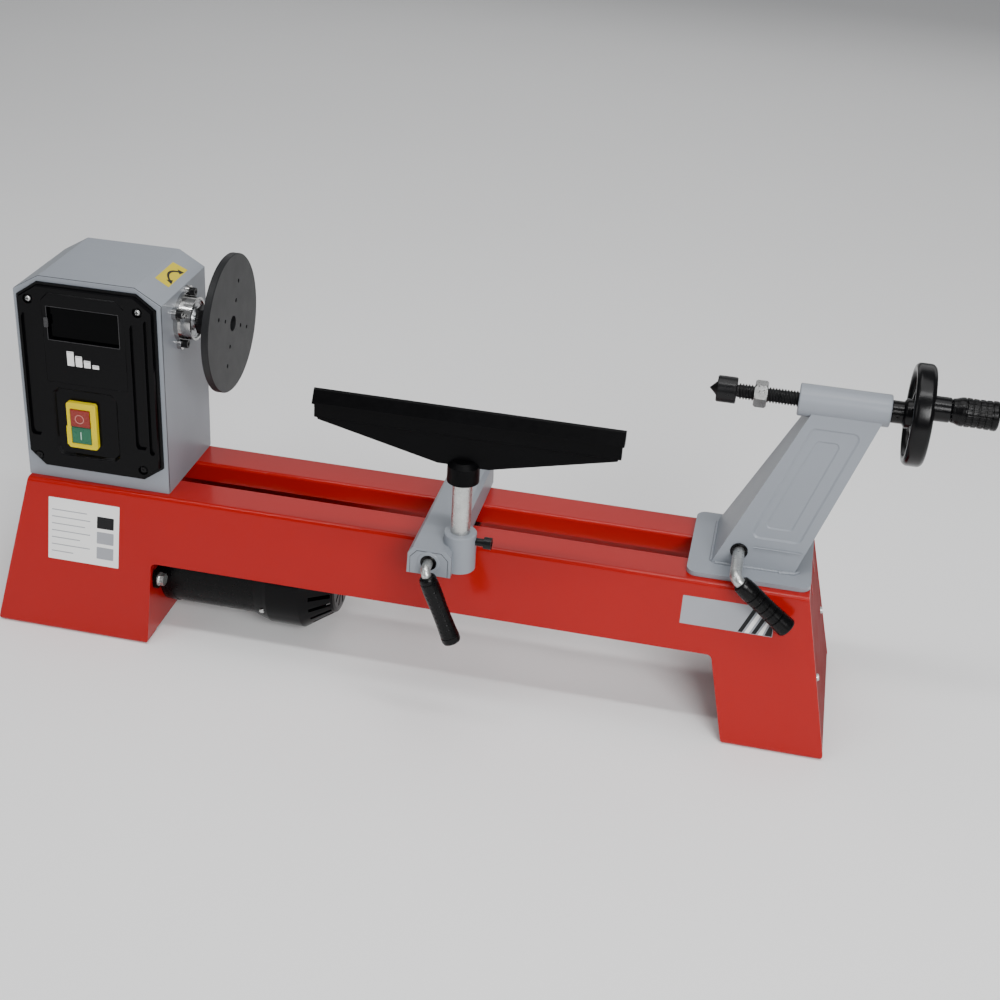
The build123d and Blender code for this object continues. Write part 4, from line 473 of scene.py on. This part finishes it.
# direction arrow on the casing's right chamfer
slope = Vector((28.7, 0, -16.9)).normalized()
so = W(163.7 - 28.7, 0, 412.1)
back = Vector((0, 1, 0))
sheet_piece("arrow_sticker", [(6.3, -14.5), (23.6, -14.5), (23.6, 39.5), (6.3, 35.5)], so, slope, back, 0.16, STICKER, "frame", bevel=0)
arc = []
R_ARC, cxa, cya = 16.0, 28.3, 12.0
for s, rr in ((1, R_ARC + 1.4), (-1, R_ARC - 1.4)):
    rng = [math.radians(128 + (232 - 128) * k / 14) for k in range(15)]
    arc += [(cxa + rr * math.cos(a), cya + rr * math.sin(a)) for a in (rng if s > 0 else rng[::-1])]
sheet_piece("arrow_curve", arc, so, slope, back, 0.20, BLACK_PRINT_AND_RECESS_SHADE, "frame", under=-0.1)
for k, a in enumerate((128, 232)):
    a = math.radians(a)
    sgn = -1 if k == 0 else 1
    px_, py_ = cxa + R_ARC * math.cos(a), cya + R_ARC * math.sin(a)
    tx, ty = -math.sin(a) * sgn, math.cos(a) * sgn
    nx, ny = math.cos(a), math.sin(a)
    sheet_piece("arrow_head_%d" % k, [(px_ + nx * 4.4, py_ + ny * 4.4), (px_ + tx * 7.4 + nx * 1.6, py_ + ty * 7.4 + ny * 1.6), (px_ - nx * 4.4, py_ - ny * 4.4)], so, slope, back, 0.20, BLACK_PRINT_AND_RECESS_SHADE, "frame", under=-0.1)

# painted highlight: thin light lines along the window's bevelled edges; and the window catch
for nm, p in (("l", rounded(38.2, 345.2, 38.9, 383.8, 0.2, 1)), ("b", rounded(38.2, 345.2, 119.8, 345.8, 0.2, 1)), ("r", rounded(119.2, 345.2, 119.9, 383.8, 0.2, 1)), ("t", rounded(38.2, 383.2, 119.8, 383.8, 0.2, 1))):
    sheet_piece("window_edge_highlight_" + nm, p, W(0, -66.5, 0), (1, 0, 0), (0, 0, 1), 0.28, EDGE_HIGHLIGHT_AND_CATCH, "frame", bevel=0.1)
sheet_piece("window_catch", rounded(35.4, 359.5, 40.2, 371.0, 1.6, 4), W(0, -66.5, 0), (1, 0, 0), (0, 0, 1), 1.5, EDGE_HIGHLIGHT_AND_CATCH, "frame", bevel=0.4)

# button marks
ring_piece("stop_mark", [(0.0, 4.3), (0.0, 5.3), (0.1, 5.3), (0.1, 4.3)], W(68.7, -69.88, 257.2), (0, -1, 0), PINK_PRINT, "stop_cap", n=64)
sheet_piece("start_mark", rounded(68.1, -4.6 + 236.7, 69.3, 4.6 + 236.7, 0.3, 2), W(0, -68.69, 0), (1, 0, 0), (0, 0, 1), 0.1, PALE_PRINT, "start_cap", under=-0.01)

# cross-headed zinc screws in the cover's two upper pads
for k, (sx_, sz_) in enumerate(((18.0, 388.6), (140.6, 388.6))):
    turned("pad_screw_%d" % k, [(0, 0), (0, 3.3), (0.9, 3.2), (1.9, 2.7), (2.6, 1.7), (2.9, 0.0)], W(sx_, -63.6, sz_), (0, -1, 0), ZINC, "frame", n=48)
    # painted shade: black crosses stand in for the shaded cross recesses
    for j, (a_, b_) in enumerate(((1.8, 0.4), (0.4, 1.8))):
        sheet_piece("pad_screw_cross_%d_%d" % (k, j), rounded(sx_ - a_, sz_ - b_, sx_ + a_, sz_ + b_, 0.2, 2), W(0, -66.36, 0), (1, 0, 0), (0, 0, 1), 0.18, BLACK_PRINT_AND_RECESS_SHADE, "frame", under=0.6)

# ------------------------------------------------------------------ banjo's front cap and ring
cap = [(458.0, 175.9), (497.0, 175.9), (497.0, 194.4), (490.2, 202.0), (464.8, 202.0), (458.0, 194.4)]
# painted shade: a dark strip just larger than the cap, for the shadow gap round it
cap_edge = [(457.5, 175.7), (497.5, 175.7), (497.5, 194.6), (490.4, 202.5), (464.6, 202.5), (457.5, 194.6)]
sheet_piece("banjo_cap_seam", cap_edge, W(0, -139.5, 0), (1, 0, 0), (0, 0, 1), 0.10, SEAM, "banjo", under=0.2)
capo = [(x_, z_) for x_, z_ in cap]
sheet_piece("banjo_cap", capo, W(0, -139.5, 0), (1, 0, 0), (0, 0, 1), 0.95, GREY, "banjo", under=0.3, bevel=0.35)
ring_piece("banjo_ring", [(-0.3, 8.6), (-0.3, 11.8), (1.3, 11.8), (1.9, 11.1), (1.9, 8.6)], W(477.5, -139.6, 190.8), (0, -1, 0), GREY, "banjo", n=64)
ring_piece("banjo_rod_ring", [(0.6, 5.25), (0.6, 8.5), (1.8, 8.5), (2.4, 7.8), (2.4, 5.25)], W(477.5, -139.6, 190.8), (0, -1, 0), GRIP, "banjo", n=64)

# ------------------------------------------------------------------ bushes, welds, small screws
ring_piece("tail_rod_ring", [(0, 6.3), (0, 9.0), (1.6, 9.0), (2.4, 8.2), (2.4, 6.3)], W(783, -32.6, 197.5), (0, -1, 0), GRIP, "tailstock", n=64)


def bead(name, pts, r, body, material=GREY, step=1.1):
    path = []
    for a, b in zip(pts, pts[1:]):
        k = max(2, int((b - a).length * 1000 / step))
        path += [a + (b - a) * (i / k) for i in range(k)]
    path.append(pts[-1])
    return tube(name, path, r, material, body, n=10, shape=lambda i: 1.0 + 0.16 * math.sin(i * 1.9) + 0.06 * math.sin(i * 5.3))


bead("weld_tail_front", [W(760, -35.4, 180.9), W(838, -35.4, 180.9)], 1.5, "tailstock")
bead("weld_tail_left", [W(755.6, -33, 180.9), W(755.6, 54, 180.9)], 1.5, "tailstock")
bead("arm_crease", [W(797, -33.35, 204.5), W(847.5, -33.35, 204.5)], 0.75, "tailstock", step=3.0)
bead("weld_tail_corner", [W(826, -36.6, 180.9), W(842.5, -35.0, 181.4), W(846, -30, 181.0)], 1.9, "tailstock")
bead("weld_housing", [W(837, -12.5, 352.5), W(898, -12.5, 352.5)], 1.2, "tailstock")

# ribbed belt around the two pulleys
GAP_, T_ = 0.3, 3.0
r1_, r2_ = 39.5 + GAP_ + 0.3, 22.5 + GAP_
belt_prof = [(0.0, 0.9), (0.0, 2.6), (0.5, 3.0), (8.5, 3.0), (9.0, 2.6), (9.0, 0.9)]
ribs_ = 4
for i in range(ribs_, 0, -1):
    c_ = 9.0 * (i - 0.5) / ribs_
    h_ = 9.0 / ribs_ / 2
    belt_prof += [(c_ + h_ * 0.72, 0.9), (c_ + h_ * 0.30, 0.0), (c_ - h_ * 0.30, 0.0), (c_ - h_ * 0.72, 0.9)]
c1, c2 = np.array((0.0, 362.3)), np.array((-6.0, 67.0))
dc = c1 - c2
base_ = math.atan2(dc[1], dc[0])
beta = math.acos((r1_ - r2_) / float(np.hypot(*dc)))
path_ = []
for i in range(49):
    a = base_ - beta + (2 * beta) * i / 48
    path_.append((c1, a, r1_))
for i in range(49):
    a = base_ + beta + (2 * math.pi - 2 * beta) * i / 48
    path_.append((c2, a, r2_))
verts, faces = [], []
full = []
for i, (c_, a, r_) in enumerate(path_):
    full.append((c_, a, r_))
    nxt = path_[(i + 1) % len(path_)]
    if nxt[0] is not c_:
        pa = c_ + np.array((math.cos(a), math.sin(a))) * r_
        pb = nxt[0] + np.array((math.cos(nxt[1]), math.sin(nxt[1]))) * nxt[2]
        for j in range(1, 40):
            full.append((pa + (pb - pa) * j / 40, a, 0.0))
for c_, a, r_ in full:
    nx, nz = math.cos(a), math.sin(a)
    for s_, h_ in belt_prof:
        verts.append(W(43.65 + s_, c_[0] + nx * (r_ + h_), c_[1] + nz * (r_ + h_)))
m_ = len(belt_prof)
for i in range(len(full)):
    for k in range(m_):
        faces.append((i * m_ + k, i * m_ + (k + 1) % m_, ((i + 1) % len(full)) * m_ + (k + 1) % m_, ((i + 1) % len(full)) * m_ + k))
belt = make("ribbed_belt", verts, faces, "frame", RUBBER, angle=40)
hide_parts("drive_belt")
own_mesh(belt)

# motor cover screws
for k, a in enumerate((205, 325, 85)):
    a = math.radians(a)
    c = W(268.5, -6 + 58.0 * math.cos(a), 67 + 58.0 * math.sin(a))
    turned("motor_cover_screw_%d" % k, [(0, 0), (0, 3.2), (1.4, 2.9), (2.1, 1.8), (2.3, 0)], c, (0, math.cos(a), math.sin(a)), ZINC, "motor", n=24)

# ------------------------------------------------------------------ stage
bpy.ops.mesh.primitive_plane_add(size=12, location=(0, 0, -0.0004))
floor = bpy.context.object
floor.name = "floor"
floor.data.materials.append(surface("floor_pale", (0.90, 0.90, 0.90), rough=0.75, vary=0.01, grain=60, bump=0.01, scale=1.5, specular=0.2))

world = bpy.data.worlds.new("studio")
bpy.context.scene.world = world
world.use_nodes = True
wn, wl = world.node_tree.nodes.new, world.node_tree.links.new
bg = world.node_tree.nodes["Background"]
wtc, wsep, wramp = wn("ShaderNodeTexCoord"), wn("ShaderNodeSeparateXYZ"), wn("ShaderNodeValToRGB")
wl(wtc.outputs["Generated"], wsep.inputs[0])
wl(wsep.outputs["Z"], wramp.inputs["Fac"])
wramp.color_ramp.elements[0].position, wramp.color_ramp.elements[0].color = 0.0, (0.11, 0.112, 0.115, 1)
wramp.color_ramp.elements[1].position, wramp.color_ramp.elements[1].color = 0.9, (0.27, 0.274, 0.282, 1)
wl(wramp.outputs["Color"], bg.inputs[0])
bg.inputs[1].default_value = 1.0


def area(name, loc, target, size, power, col=(1, 1, 1)):
    d = bpy.data.lights.new(name, "AREA")
    d.shape, d.size, d.size_y, d.energy, d.color = "RECTANGLE", size[0], size[1], power, col
    o = bpy.data.objects.new(name, d)
    bpy.context.scene.collection.objects.link(o)
    o.location = loc
    o.rotation_mode = "QUATERNION"
    o.rotation_quaternion = (Vector(target) - Vector(loc)).to_track_quat("-Z", "Y")


area("key", (1.5, -2.6, 1.9), (0.1, 0, 0.15), (1.5, 1.1), 96)
area("fill", (-2.6, -1.9, 1.8), (-0.1, 0, 0.15), (1.4, 1.4), 12)
area("top", (0.2, 0.2, 3.0), (0, 0, 0.1), (2.6, 1.6), 32)
area("strip", (0.1, -0.7, 2.5), (0.1, 0, 0.15), (2.8, 0.18), 28)
area("card", (0.4, 3.1, 1.7), (0, 0, 0.1), (5.0, 1.7), 20)

# camera at the photograph's angle
yaw, pitch, roll = (math.radians(v) for v in (11.690355, 28.745071, 2.852225))
fwd = Vector((-math.sin(yaw) * math.cos(pitch), math.cos(yaw) * math.cos(pitch), -math.sin(pitch)))
right = Vector((math.cos(yaw), math.sin(yaw), 0))
up = right.cross(fwd)
r2, u2 = right * math.cos(roll) + up * math.sin(roll), -right * math.sin(roll) + up * math.cos(roll)
cd = bpy.data.cameras.new("camera")
cd.sensor_width, cd.lens, cd.shift_x, cd.shift_y = 36.0, 57.0611, 0.043644, -0.001863
cd.clip_start, cd.clip_end = 0.05, 60
cam = bpy.data.objects.new("camera", cd)
bpy.context.scene.collection.objects.link(cam)
at = W(781.7528, -1487.3525, 1024.2683)
cam.matrix_world = Matrix(((r2.x, u2.x, -fwd.x, at.x), (r2.y, u2.y, -fwd.y, at.y), (r2.z, u2.z, -fwd.z, at.z), (0, 0, 0, 1)))
bpy.context.scene.camera = cam
